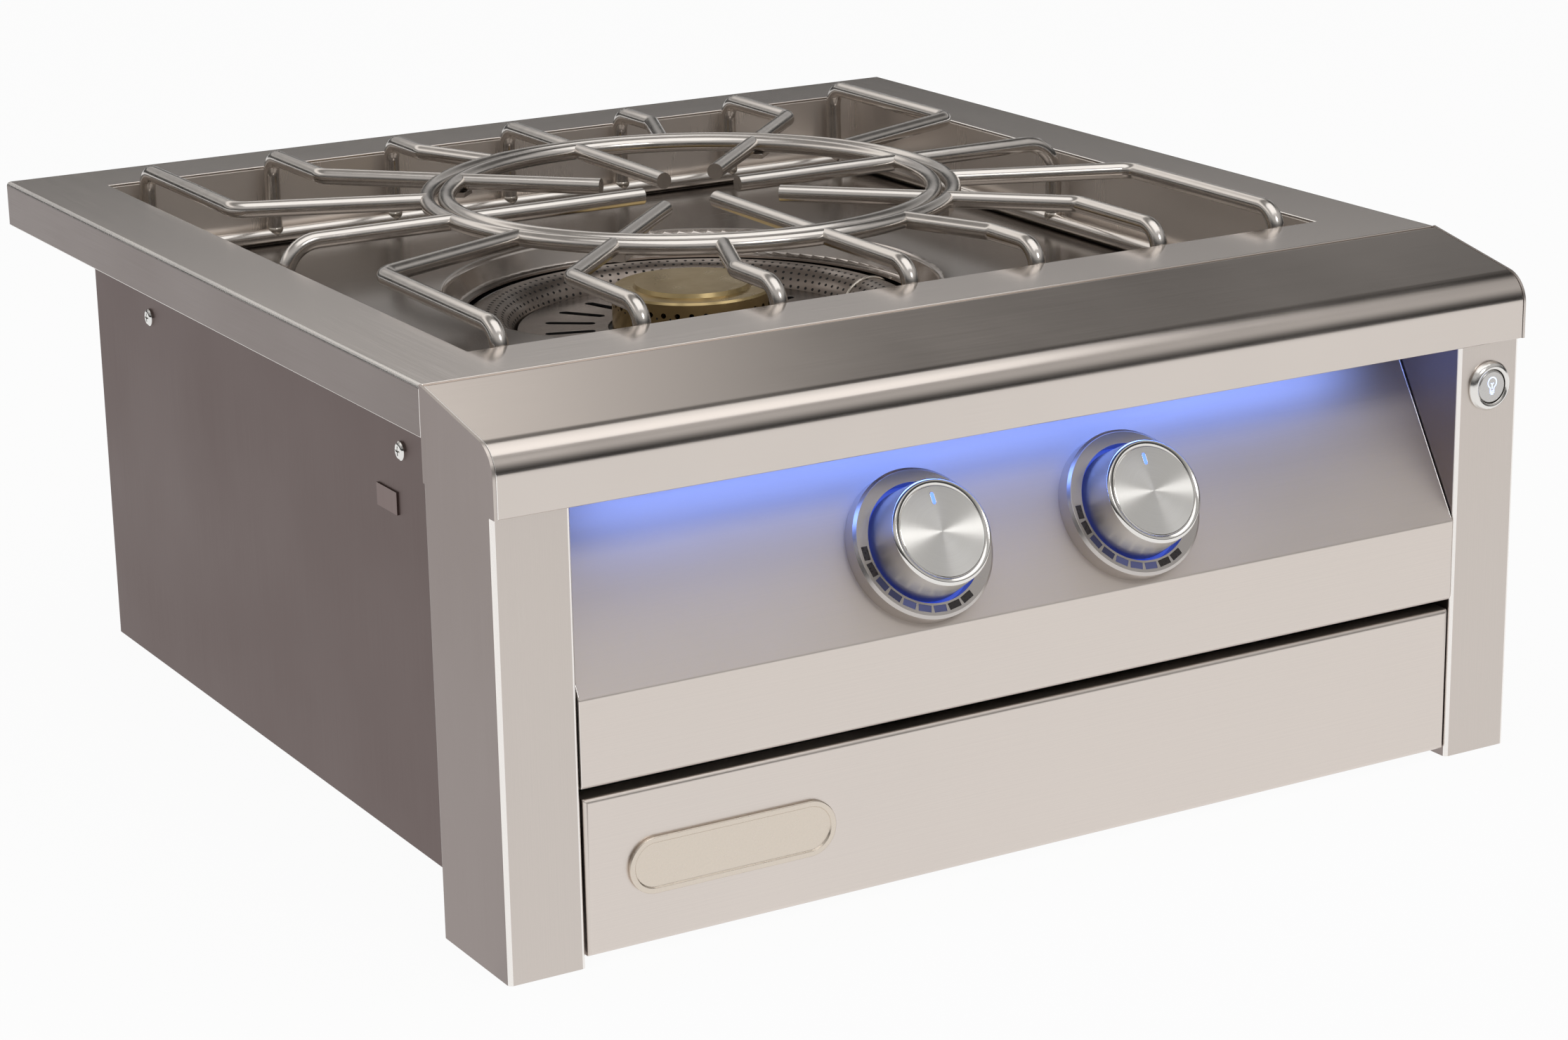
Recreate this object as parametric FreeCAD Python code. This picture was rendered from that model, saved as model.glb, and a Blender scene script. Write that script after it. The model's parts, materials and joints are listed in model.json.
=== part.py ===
import FreeCAD, Part
import math
import os

# Built-in power burner: a sheet-steel box that drops into a counter, with a wok grate over a brass
# burner and a ring burner, two push-and-turn knobs on a lit slanting panel, and a pull-out drip tray.
# Millimetres. X runs across the front, +Y to the rear, +Z up; the origin is the middle of the underside.

# Shell
WIDTH = 610.0            # across the rim
DEPTH = 650.0            # fascia front to the rim's rear edge
HEIGHT = 278.0           # underside to the rim's top face
SHEET = 1.5              # sheet steel
BEND_R = 2.5             # outside radius of a folded edge
JOINT_GAP = 0.5          # clearance between panels that sit side by side
SEAT_GAP = 0.3           # clearance under a piece that only rests in place
RUNNING_GAP = 0.05       # radial clearance of a turning or sliding fit

# Top rim and firebox
RIM_SIDE = 47.0          # rim width at the sides
RIM_REAR = 46.5          # rim width at the rear
RIM_FRONT = 44.5         # rim width behind the fascia seam
FLANGE = 26.0            # drop of the rim's flange
FLANGE_LIP = 12.0        # return under the flange, which rests on the counter
WALL_GAP = 5.8           # air gap between the firebox and the outer panels
FIREBOX_LEDGE = 14.0     # ledge that carries the burner pan
FLOOR_DROP = 46.3        # rim top to the burner pan's floor

# Burner pan and burners
DISH_R = 142.0           # mouth of the pan's dish
LIP_R = 132.0            # hole in the dish
LIP_W = 5.0              # flat lip round the hole
LIP_DROP = 60.0          # rim top to the lip
DISH_BEND = 4.0          # bend radius of the dish
RING_R = 120.0           # ring burner, centre of its tube
RING_TUBE_R = 18.0
RING_DROP = 78.0         # rim top to the ring burner's centre
RING_WALL = 1.6
RING_INLET_R = 14.0
HEAD_R = 46.5            # brass burner head
HEAD_WALL = 5.0
HEAD_H = 24.5            # head's seat to its rim
HEAD_STEP_R = 33.0       # raised disc on the head
HEAD_STEP_H = 2.4
HEAD_PORTS = 36
HEAD_PORT_R = 1.5
HEAD_PORT_DROP = 7.5     # rim to the ports' centres
PLATE_DROP = 72.5        # rim top to the air plate's underside
PLATE_CLEAR = 2.5        # air plate to head and to ring burner
PLATE_SLOTS = 20
SLOT_IN = 57.0           # inner end of a slot, from the burner's centre
SLOT_OUT = 86.0
SLOT_W = 6.0
POT_R = 34.0             # mixing pot under the head
POT_WALL = 4.0
POT_H = 55.5
POT_FLANGE_R = 60.0
POT_FLANGE_H = 3.5
MIX_TUBE_R = 13.0        # mixing tube cast with the pot
MIX_TUBE_UP = 16.0       # pot's underside to the tube's axis
RAIL_OFFSET = 80.0       # burner rails, each side of the burner's centre
RAIL_W = 25.0
RAIL_H = 20.0
BRIDGE_HALF = 50.0       # half width of the plate under the pot
SADDLE_L = 20.0
SADDLE_W = 14.0
SADDLE_WRAP = 9.0        # how far a saddle reaches up the ring burner

# Fascia, columns and control panel
FASCIA_RUN = 75.5        # front plane to the seam with the rim
FASCIA_SLOPE = 11.5      # degrees
NOSE_R = 17.0
HEADER_DROP = 47.7       # rim top to the header's lower edge
HEM_H = 9.0              # folded hem behind the header's lower edge
COLUMN_SETBACK = 4.0     # columns behind the header's face
RETURN_DEPTH = 67.0      # inner return of a column
PANEL_TILT = 30.9        # degrees from vertical
CREASE_Z = 134.6         # fold between the slanting face and the strip
STRIP_Z = 90.0           # lower edge of the strip
STRIP_RETURN = 12.0
PANEL_LAP = 6.0          # panel's top flange on the fascia's rear flange
PANEL_TONGUE = 20.0      # side panel's start behind the column face

# Knobs and gas valves, along an axis square to the slanting face
KNOB_Z = 170.0           # where the axis meets the panel
KNOB_SPACING = 127.0
KNOB_R = 29.2            # foot of the skirt
KNOB_TAPER = 1.7         # foot of the skirt to its top
KNOB_TOP = 30.0          # panel face to the knob's rim
KNOB_WALL = 3.4
KNOB_EDGE = 1.4          # bevel round the knob's rim
KNOB_FACE_R = 23.6
KNOB_FACE_SINK = 0.8
KNOB_HUB_R = 8.0
POINTER_W = 2.4
POINTER_L = 6.6
POINTER_R = 17.0         # knob centre to the pointer's middle
POINTER_DEPTH = 1.6
BEZEL_R = 39.0
BEZEL_BORE = 31.2
BEZEL_H = 10.0
BEZEL_EDGE = 1.5
DIAL_WINDOWS = 9
DIAL_FIRST = 180.0       # degrees, nine o'clock
DIAL_STEP = 14.4
DIAL_R = 34.0
WINDOW_L = 7.0
WINDOW_W = 3.4
WINDOW_DEPTH = 2.5
HALO_R = 21.5            # inner edge of the light ring behind the knob
HALO_H = 1.2
STEM_R = 4.0
STEM_IN = 24.0           # panel face to the stem's inner end
STEM_OUT = 19.0          # panel face to the stem's outer end
PLUNGER_R = 8.0
PLUNGER_L = 6.0
PLUNGER_IN = 4.5
PUSH = 3.0               # travel of a pushed knob
VALVE_R = 13.0
VALVE_L = 45.0
VALVE_PLATE_R = 19.0
VALVE_PLATE_T = 3.0
VALVE_NOSE_R = 6.0
VALVE_NOSE_L = 7.0
SPIGOT_R = 6.5
SPIGOT_IN = 28.0         # panel face to the inlet spigot
MANIFOLD_DROP = 45.0     # knob axis to the manifold's axis
MANIFOLD_R = 10.0
MANIFOLD_WALL = 2.0
MANIFOLD_LEFT = 95.0     # manifold's capped end
MANIFOLD_RIGHT = 190.0   # manifold's elbow
SPIGOT_BITE = 3.0        # threaded depth of a spigot in the manifold
SUPPLY_BEND = 24.0
GAS_TUBE_R = 4.0
GAS_TUBE_BEND = 11.0
ORIFICE_R = 6.0
ORIFICE_L = 16.0
ORIFICE_BITE = 4.0       # orifice inside the burner's mixing tube
BURNER_MOUTH = 15.0      # ring burner's mouth behind the firebox front
POT_MOUTH = 45.0         # pot's mouth behind the firebox front
INLET_THREAD_R = 10.5    # half-inch pipe thread
INLET_THREAD_L = 16.0
INLET_HEX_R = 15.0
INLET_HEX_L = 9.0

# Lights, switch and ignition
LED_D = 32.0             # reaches back from the header towards the slanting panel
LED_H = 12.0
LED_LENS_H = 2.0
LED_UP = 0.7             # lens above the header's lower edge
LED_END = 4.0            # light strip short of the column
BUTTON_DROP = 71.7       # rim top to the button's axis
BUTTON_RING_R = 13.5
BUTTON_RING_H = 4.0
BUTTON_R = 9.0
BUTTON_H = 8.0
BUTTON_SINK = 0.8        # cap below the ring's crown
BUTTON_PUSH = 2.0
SWITCH_R = 11.0
SWITCH_L = 34.0
SWITCH_NUT_R = 14.5
SWITCH_NUT_H = 4.0
DRIVER_SIZE = (28.0, 90.0, 45.0)
DRIVER_BACK = 96.0       # rear panel to the middle of the light driver
MODULE_SIZE = (30.0, 60.0, 40.0)
MODULE_BACK = 99.5       # fascia seam to the middle of the spark module
BOX_Z = 140.0            # underside of the two electrical boxes
LEAD_R = 2.0
LEAD_BEND = 24.0
LEAD_UP = 9.0            # igniter lead above the bridge
IGNITER_R = 3.5
IGNITER_ANGLE = 81.0     # degrees, between two slots of the air plate
IGNITER_AT = 70.0
IGNITER_TIP = 9.0
IGNITER_PIN_R = 1.0
IGNITER_HOLE_GAP = 1.0
GLAND_R = 9.0
GLAND_NECK = 0.7         # neck through the panel, of the cap's radius
GLAND_BORE_R = 3.6
GLAND_OUT = 14.0
GLAND_X = -180.0
GLAND_Z = 60.0

# Drip tray
FINGER_GAP = 5.0         # between the strip and the tray front
TRAY_FRONT_Z = 5.0       # tray front's lower edge
TRAY_FRONT_RETURN = 12.5
TRAY_SIDE_GAP = 1.2      # tray front to each column
TRAY_INSET = 13.3        # tray pan's wall from the side panel
TRAY_SHEET = 1.2
TRAY_Z = 10.0
TRAY_H = 53.2
TRAY_REAR = 95.0         # tray's rear wall to the rear panel
TRAY_LIP = 10.0          # flange that rides in the rails
RAIL_LIP = 9.8           # depth of a tray rail's channel
RAIL_ROOM = 2.8          # free height above the flange in the channel
BADGE_L = 115.0
BADGE_H = 29.0
BADGE_T = 2.0
BADGE_RIM = 3.0
BADGE_SINK = 0.8
BADGE_INSET = 22.6       # tray front's end to the plate's end

# Grate and wok ring
ROD_R = 4.8
GRATE_LIFT = 7.4         # rim top to the rods' axis
GRATE_RING_R = 149.5
GRATE_RING_ROD_R = 4.5
WOK_RING_ROD_R = 4.8
WOK_GAP = 1.9            # between the two rings
WOK_FINGERS = 8
FINGER_LONG = 31.0       # inner end of the four long fingers, from the centre
FINGER_SHORT = 53.0
SPOKES_A_SIDE = 7
SPOKE_EDGE = 21.0        # side wall to the outermost spoke
LEG_INSET = 8.0          # firebox wall to a leg's axis
LEG_BEND = 12.0
SIDE_LEG_BEND = 20.0
SPOKE_BEND = 10.0
LUG_W = 14.0
LUG_T = 3.0
LUGS = 4

# Side screws, lanced tabs and rear vents
SCREW_HEAD_R = 5.0
SCREW_HEAD_H = 2.6
SCREW_R = 2.0
SCREW_DROP = 63.0        # rim top to the screws
SCREW_FRONT = 107.5      # fascia seam to the front screw
SCREW_REAR = 86.0        # rear panel to the rear screw
TAB_L = 24.0
TAB_H = 12.0
TAB_OUT = 1.0
TAB_DROP = 92.5
TAB_BACK = 126.5         # fascia seam to the tab's middle
VENTS = 5
VENT_L = 60.0
VENT_H = 8.0
VENT_PITCH = 85.0
VENT_Z = 200.0

# Places worked out from the sizes above
V = FreeCAD.Vector
ORIGIN = V(0, 0, 0)
UP = V(0, 0, 1)
X_AXIS = V(1, 0, 0)
Y_AXIS = V(0, 1, 0)
x_edge = WIDTH / 2
y_front = -DEPTH / 2
y_rear = DEPTH / 2
y_seam = y_front + FASCIA_RUN
x_open = x_edge - RIM_SIDE
y_open_front = y_seam + RIM_FRONT
y_open_rear = y_rear - RIM_REAR
y_mid = (y_open_front + y_open_rear) / 2
x_body = x_open + SHEET + WALL_GAP
y_body = y_open_rear + SHEET + WALL_GAP
x_return = x_body - SHEET
y_column = y_front + COLUMN_SETBACK
z_under_rim = HEIGHT - SHEET
z_floor = HEIGHT - FLOOR_DROP
z_header = HEIGHT - HEADER_DROP
z_ring = HEIGHT - RING_DROP
z_plate = HEIGHT - PLATE_DROP
z_bridge = z_plate - POT_H
z_rail = z_bridge - SHEET
z_rod = HEIGHT + GRATE_LIFT
z_frame = z_floor + SEAT_GAP + ROD_R
tilt = math.radians(PANEL_TILT)
panel_run = math.tan(tilt)
y_panel_flange = y_seam - 2 * SHEET
z_slant_top = CREASE_Z + (y_panel_flange - y_column) / panel_run
knob_y = y_column + (KNOB_Z - CREASE_Z) * panel_run
knob_back = HALO_H + PUSH + SEAT_GAP
tray_half = x_body - TRAY_INSET
z_tray_top = TRAY_Z + TRAY_H
z_tray_front = STRIP_Z - FINGER_GAP
x_tray_front = x_return - TRAY_SIDE_GAP
y_tray_rear = y_body - TRAY_REAR
wok_ring_r = GRATE_RING_R - GRATE_RING_ROD_R - WOK_GAP - WOK_RING_ROD_R
y_module = y_seam + MODULE_BACK
y_driver = y_body - DRIVER_BACK
burner = V(0, y_mid, 0)


def box(x0, x1, y0, y1, z0, z1):
    return Part.makeBox(x1 - x0, y1 - y0, z1 - z0, V(x0, y0, z0))


def fuse(first, *others):
    shape = first.multiFuse(list(others))
    return shape.removeSplitter()


def cut(shape, *tools):
    for tool in tools:
        shape = shape.cut(tool)
    return shape


def cylinder(start, direction, radius, length):
    return Part.makeCylinder(radius, length, start, direction)


def mirrored(shape):
    return shape.mirror(ORIGIN, X_AXIS)


def group(shapes):
    return Part.makeCompound(list(shapes))


def rounded_edges(points, radii):
    """Straight runs through the points, with a tangent arc of the given radius at each inner point."""
    edges = []
    start = points[0]
    for before, corner, after, radius in zip(points, points[1:], points[2:], radii):
        arriving = (corner - before).normalize()
        leaving = (after - corner).normalize()
        half_turn = arriving.getAngle(leaving) / 2
        if radius <= 0 or half_turn < 1e-6:
            edges.append(Part.makeLine(start, corner))
            start = corner
            continue
        reach = radius * math.tan(half_turn)
        first = corner - arriving * reach
        last = corner + leaving * reach
        inward = (leaving - arriving).normalize()
        middle = corner + inward * (radius / math.cos(half_turn) - radius)
        edges.append(Part.makeLine(start, first))
        edges.append(Part.Arc(first, middle, last).toShape())
        start = last
    edges.append(Part.makeLine(start, points[-1]))
    return edges


def sideways(points, distance):
    """The same run of (a, b) points, moved to its left by a distance and mitred at the bends."""
    normals = []
    for (a0, b0), (a1, b1) in zip(points, points[1:]):
        length = math.hypot(a1 - a0, b1 - b0)
        normals.append(((b0 - b1) / length, (a1 - a0) / length))
    moved = []
    for index, (a, b) in enumerate(points):
        left = normals[max(index - 1, 0)]
        right = normals[min(index, len(normals) - 1)]
        share = distance / (1 + left[0] * right[0] + left[1] * right[1])
        moved.append((a + (left[0] + right[0]) * share, b + (left[1] + right[1]) * share))
    return moved


def folded_face(points, place, radii=None):
    """Section of a folded sheet: its outer face follows the points, its thickness lies on their left."""
    radii = radii or [BEND_R] * (len(points) - 2)
    inner = sideways(points, SHEET)
    outer_radii = []
    inner_radii = []
    for before, corner, after, radius in zip(points, points[1:], points[2:], radii):
        a0, b0 = corner[0] - before[0], corner[1] - before[1]
        a1, b1 = after[0] - corner[0], after[1] - corner[1]
        turn = a0 * b1 - b0 * a1
        outer_radii.append(radius if turn > 0 else radius - SHEET)
        inner_radii.append(radius - SHEET if turn > 0 else radius)
    outer_line = [place(a, b) for a, b in points]
    inner_line = [place(a, b) for a, b in inner]
    edges = rounded_edges(outer_line, outer_radii)
    edges.append(Part.makeLine(outer_line[-1], inner_line[-1]))
    edges += rounded_edges(inner_line[::-1], inner_radii[::-1])
    edges.append(Part.makeLine(inner_line[0], outer_line[0]))
    return Part.Face(Part.Wire(Part.__sortEdges__(edges)))


def turned(profile, axis_point=ORIGIN):
    """Solid of revolution about a vertical line, from (radius, height) points."""
    points = [axis_point + V(r, 0, z) for r, z in profile]
    face = Part.Face(Part.makePolygon(points + points[:1]))
    return face.revolve(axis_point, UP, 360)


def tube(points, radius, bends):
    """Round bar along straight runs and tangent arcs."""
    path = Part.Wire(rounded_edges(points, bends))
    section = Part.Wire(Part.makeCircle(radius, points[0], points[1] - points[0]))
    return path.makePipeShell([section], True, False)


def knob_place(shape, side):
    """Move a shape from a knob's own axes (Z out of the panel, Y up the slope) to its place."""
    moved = shape.copy()
    turn = FreeCAD.Rotation(X_AXIS, 90 - PANEL_TILT)
    place = FreeCAD.Placement(V(side * KNOB_SPACING / 2, knob_y, KNOB_Z), turn)
    moved.Placement = place.multiply(shape.Placement)
    return moved


def knob_point(side, up, out):
    """A point given in a knob's own axes, in the object's frame."""
    turn = FreeCAD.Rotation(X_AXIS, 90 - PANEL_TILT)
    return V(side * KNOB_SPACING / 2, knob_y, KNOB_Z) + turn.multVec(V(0, up, out))


def bar(angle, inner, outer, width, z0, z1, centre=ORIGIN):
    """Flat radial bar with round ends, standing at an angle about a vertical line."""
    middle = box(inner, outer, -width / 2, width / 2, z0, z1)
    ends = [Part.makeCylinder(width / 2, z1 - z0, V(r, 0, z0)) for r in (inner, outer)]
    shape = fuse(middle, *ends)
    shape.rotate(ORIGIN, UP, angle)
    shape.translate(centre)
    return shape


def top_rim():
    z_low = HEIGHT - FLANGE
    shell = box(-x_edge, x_edge, y_seam, y_rear, z_low, HEIGHT)
    outer_edges = []
    for edge in shell.Edges:
        middle = edge.CenterOfMass
        on_top = abs(middle.z - HEIGHT) < 1e-6 and middle.y > y_seam + 1e-6
        rear_corner = abs(middle.y - y_rear) < 1e-6 and abs(abs(middle.x) - x_edge) < 1e-6
        if on_top or rear_corner:
            outer_edges.append(edge)
    shell = shell.makeFillet(BEND_R, outer_edges)
    inside = box(-x_edge + SHEET, x_edge - SHEET, y_seam + SHEET, y_rear - SHEET, z_low, z_under_rim)
    opening = box(-x_open, x_open, y_open_front, y_open_rear, z_under_rim, HEIGHT)
    rim = cut(shell, inside, opening)
    x_in = x_edge - SHEET
    y_in = y_rear - SHEET
    lips = [box(side * x_in - (FLANGE_LIP if side > 0 else 0), side * x_in + (FLANGE_LIP if side < 0 else 0),
                y_seam + SHEET, y_in, z_low, z_low + SHEET) for side in (-1, 1)]
    lips.append(box(-x_in, x_in, y_in - FLANGE_LIP, y_in, z_low, z_low + SHEET))
    return fuse(rim, *lips)


def fascia_line():
    """The fascia's outer line in (y, z), from its rear flange over the slope and nose to the header."""
    z_corner = HEIGHT - FASCIA_RUN * math.tan(math.radians(FASCIA_SLOPE))
    return [(y_seam, HEIGHT - FLANGE), (y_seam, HEIGHT), (y_front, z_corner), (y_front, z_header)]


def front_fascia():
    half = x_edge - SHEET
    face = folded_face(fascia_line(), lambda y, z: V(-half, y, z), [BEND_R, NOSE_R])
    sheet = face.extrude(V(2 * half, 0, 0))
    hem = box(-half, half, y_front + SHEET, y_column, z_header, z_header + HEM_H)
    return fuse(sheet, hem)


def column(side):
    """Folded column: inner return, front, outer cheek and rear return, with the fascia's end cap above."""
    plan = [(x_return, y_column + RETURN_DEPTH), (x_return, y_column), (x_edge, y_column),
            (x_edge, y_seam), (x_body + SHEET, y_seam)]
    face = folded_face(plan, lambda x, y: V(x, y, 0))
    post = face.extrude(V(0, 0, z_header))
    tongue_plan = [(x_return, y_column + RETURN_DEPTH), (x_return, y_column), (x_edge - SHEET, y_column)]
    tongue = folded_face(tongue_plan, lambda x, y: V(x, y, z_header)).extrude(V(0, 0, HEM_H))
    line = [V(x_edge - SHEET, y, z) for y, z in fascia_line()[1:]]
    edges = rounded_edges(line, [NOSE_R])
    edges.append(Part.makeLine(line[-1], V(x_edge - SHEET, y_seam, z_header)))
    edges.append(Part.makeLine(V(x_edge - SHEET, y_seam, z_header), line[0]))
    cap = Part.Face(Part.Wire(edges)).extrude(V(SHEET, 0, 0))
    rear = box(x_body + SHEET, x_edge - SHEET, y_seam - SHEET, y_seam, z_header, HEIGHT - FLANGE - JOINT_GAP)
    shape = fuse(post, tongue, cap, rear)
    if side > 0:
        return cut(shape, cylinder(button_at(y_column - 1), Y_AXIS, SWITCH_R + RUNNING_GAP, SHEET + 2))
    return mirrored(shape)


def button_x():
    return (x_return + x_edge) / 2


def control_panel():
    z_flange = max(z_slant_top, HEIGHT - FLANGE) + PANEL_LAP
    half = x_return - JOINT_GAP
    line = [(y_panel_flange, z_flange), (y_panel_flange, z_slant_top), (y_column, CREASE_Z),
            (y_column, STRIP_Z), (y_column + STRIP_RETURN, STRIP_Z)]
    face = folded_face(line, lambda y, z: V(-half, y, z))
    panel = face.extrude(V(2 * half, 0, 0))
    hole = cylinder(V(0, 0, -2 * SHEET), UP, PLUNGER_R, 3 * SHEET)
    return cut(panel, *[knob_place(hole, side) for side in (-1, 1)])


def side_panel(side):
    plate = box(x_body, x_body + SHEET, y_seam + SHEET, y_body + SHEET, 0, z_under_rim)
    tongue = box(x_body, x_body + SHEET, y_column + PANEL_TONGUE, y_seam + SHEET, 0, z_header)
    y_tab = y_seam + TAB_BACK
    z_tab = HEIGHT - TAB_DROP
    tab = box(x_body + SHEET, x_body + SHEET + TAB_OUT, y_tab - TAB_L / 2, y_tab + TAB_L / 2,
              z_tab - TAB_H / 2, z_tab + TAB_H / 2)
    holes = [cylinder(V(x_body - 1, y, HEIGHT - SCREW_DROP), X_AXIS, SCREW_R + RUNNING_GAP, SHEET + 2)
             for y in screw_rows()]
    panel = cut(fuse(plate, tongue, tab), *holes)
    return panel if side > 0 else mirrored(panel)


def screw_rows():
    return (y_seam + SCREW_FRONT, y_body - SCREW_REAR)


def side_screws():
    """Pan-head screws with a cross recess, two in each side panel."""
    head = turned([(0, 0), (SCREW_HEAD_R, 0), (SCREW_HEAD_R, SCREW_HEAD_H * 0.45),
                   (SCREW_HEAD_R * 0.72, SCREW_HEAD_H * 0.88), (0, SCREW_HEAD_H)])
    shank = cylinder(V(0, 0, -WALL_GAP - SHEET), UP, SCREW_R, WALL_GAP + SHEET)
    arm = SCREW_HEAD_R * 0.5
    recess = [box(-arm, arm, -0.5, 0.5, SCREW_HEAD_H * 0.5, SCREW_HEAD_H + 1),
              box(-0.5, 0.5, -arm, arm, SCREW_HEAD_H * 0.5, SCREW_HEAD_H + 1)]
    screw = cut(fuse(head, shank), *recess)
    screw.rotate(ORIGIN, Y_AXIS, 90)
    placed = []
    for y in screw_rows():
        right = screw.copy()
        right.translate(V(x_body + SHEET, y, HEIGHT - SCREW_DROP))
        placed += [right, mirrored(right)]
    return group(placed)


def rear_panel():
    panel = box(-x_body, x_body, y_body, y_body + SHEET, 0, z_under_rim)
    slots = []
    for index in range(VENTS):
        x = (index - (VENTS - 1) / 2) * VENT_PITCH
        half = VENT_L / 2 - VENT_H / 2
        slots.append(box(x - half, x + half, y_body - 1, y_body + SHEET + 1,
                         VENT_Z - VENT_H / 2, VENT_Z + VENT_H / 2))
        for end in (-1, 1):
            slots.append(cylinder(V(x + end * half, y_body - 1, VENT_Z), Y_AXIS, VENT_H / 2, SHEET + 2))
    pipe = inlet_point()
    pipe_hole = cylinder(V(pipe.x, y_body - 1, pipe.z), Y_AXIS, MANIFOLD_R + RUNNING_GAP, SHEET + 2)
    gland_hole = cylinder(V(GLAND_X, y_body - 1, GLAND_Z), Y_AXIS, GLAND_R * GLAND_NECK + RUNNING_GAP,
                          SHEET + 2)
    return cut(panel, pipe_hole, gland_hole, *slots)


def bottom_panel():
    return box(-x_body, x_body, y_column + RETURN_DEPTH + JOINT_GAP, y_body, 0, SHEET)


def firebox():
    z_low = z_floor - 2 * SHEET
    outer = box(-x_open - SHEET, x_open + SHEET, y_open_front - SHEET, y_open_rear + SHEET,
                z_low, z_under_rim)
    well = box(-x_open, x_open, y_open_front, y_open_rear, z_low + SHEET, z_under_rim)
    hole = box(-x_open + FIREBOX_LEDGE, x_open - FIREBOX_LEDGE, y_open_front + FIREBOX_LEDGE,
               y_open_rear - FIREBOX_LEDGE, z_low, z_low + SHEET)
    return cut(outer, well, hole)


def burner_pan():
    """Floor of the firebox, drawn down round the burners to a flat lip."""
    z_lip = HEIGHT - LIP_DROP
    flat = DISH_R + 2 * DISH_BEND
    plate = box(-x_open + SEAT_GAP, x_open - SEAT_GAP, y_open_front + SEAT_GAP, y_open_rear - SEAT_GAP,
                z_floor - SHEET, z_floor)
    plate = cut(plate, cylinder(V(0, y_mid, z_floor - 2 * SHEET), UP, flat, 3 * SHEET))
    line = [(LIP_R, z_lip), (LIP_R + LIP_W, z_lip), (DISH_R, z_floor), (flat, z_floor)]
    section = folded_face(line[::-1], lambda r, z: V(r, y_mid, z), [DISH_BEND, DISH_BEND])
    dish = section.revolve(burner, UP, 360)
    return fuse(plate, dish)


def burner_rails():
    """Two inverted channels across the box that carry both burners."""
    rails = []
    for side in (-1, 1):
        y = y_mid + side * RAIL_OFFSET
        solid = box(-x_body, x_body, y - RAIL_W / 2, y + RAIL_W / 2, z_rail - RAIL_H, z_rail)
        groove = box(-x_body, x_body, y - RAIL_W / 2 + SHEET, y + RAIL_W / 2 - SHEET,
                     z_rail - RAIL_H, z_rail - SHEET)
        rails.append(solid.cut(groove))
    return group(rails)


def burner_bridge():
    reach = RAIL_OFFSET + RAIL_W / 2
    return box(-BRIDGE_HALF, BRIDGE_HALF, y_mid - reach, y_mid + reach, z_rail, z_bridge)


def ring_burner():
    """Ring of steel tube with its mixing tube, hollow and open at the mixing tube's mouth."""
    centre = V(0, y_mid, z_ring)
    x = KNOB_SPACING / 2
    y_ring = y_mid - math.sqrt(RING_R ** 2 - x ** 2)
    mouth = V(x, y_open_front + BURNER_MOUTH, z_ring)
    length = y_ring - mouth.y
    outer = Part.makeTorus(RING_R, RING_TUBE_R, centre, UP)
    inner = Part.makeTorus(RING_R, RING_TUBE_R - RING_WALL, centre, UP)
    pipe = cylinder(mouth, Y_AXIS, RING_INLET_R, length)
    bore = cylinder(mouth, Y_AXIS, RING_INLET_R - RING_WALL, length)
    return cut(outer.fuse(pipe), inner.fuse(bore))


def ring_saddles():
    """Four blocks on the rails, hollowed to the ring burner's underside."""
    x = math.sqrt(RING_R ** 2 - RAIL_OFFSET ** 2)
    z_top = z_ring - RING_TUBE_R + SADDLE_WRAP
    room = Part.makeTorus(RING_R, RING_TUBE_R + SEAT_GAP, V(0, y_mid, z_ring), UP)
    saddles = []
    for along in (-1, 1):
        for across in (-1, 1):
            y = y_mid + across * RAIL_OFFSET
            block = box(along * x - SADDLE_L / 2, along * x + SADDLE_L / 2,
                        y - SADDLE_W / 2, y + SADDLE_W / 2, z_rail, z_top)
            saddles.append(block.cut(room))
    return group(saddles)


def air_plate():
    """Slotted plate between the brass head and the ring burner."""
    reach = RING_R - RING_TUBE_R
    plate = cylinder(V(0, y_mid, z_plate), UP, reach - PLATE_CLEAR + SHEET, SHEET)
    hole = cylinder(V(0, y_mid, z_plate), UP, HEAD_R + PLATE_CLEAR, SHEET)
    slots = [bar(index * 360 / PLATE_SLOTS, SLOT_IN + SLOT_W / 2, SLOT_OUT - SLOT_W / 2, SLOT_W,
                 z_plate - 1, z_plate + SHEET + 1, burner) for index in range(PLATE_SLOTS)]
    spot = igniter_point()
    igniter_hole = cylinder(V(spot.x, spot.y, z_plate - 1), UP, IGNITER_R + IGNITER_HOLE_GAP, SHEET + 2)
    return cut(plate, hole, igniter_hole, *slots)


def burner_pot():
    """Cast pot that carries the brass head and the air plate, with its mixing tube to the front."""
    z_flange = z_plate - POT_FLANGE_H
    cup = turned([(0, z_bridge), (POT_R, z_bridge), (POT_R, z_flange), (POT_FLANGE_R, z_flange),
                  (POT_FLANGE_R, z_plate), (0, z_plate)], burner)
    y_mouth = y_open_front + POT_MOUTH
    start = V(0, y_mouth, z_bridge + MIX_TUBE_UP)
    pipe = cylinder(start, Y_AXIS, MIX_TUBE_R, y_mid - y_mouth)
    bore = cylinder(start, Y_AXIS, MIX_TUBE_R - RING_WALL, y_mid - y_mouth)
    cavity = cylinder(V(0, y_mid, z_bridge + POT_WALL), UP, POT_R - POT_WALL, POT_H)
    return cut(fuse(cup, pipe), cavity, bore)


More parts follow.
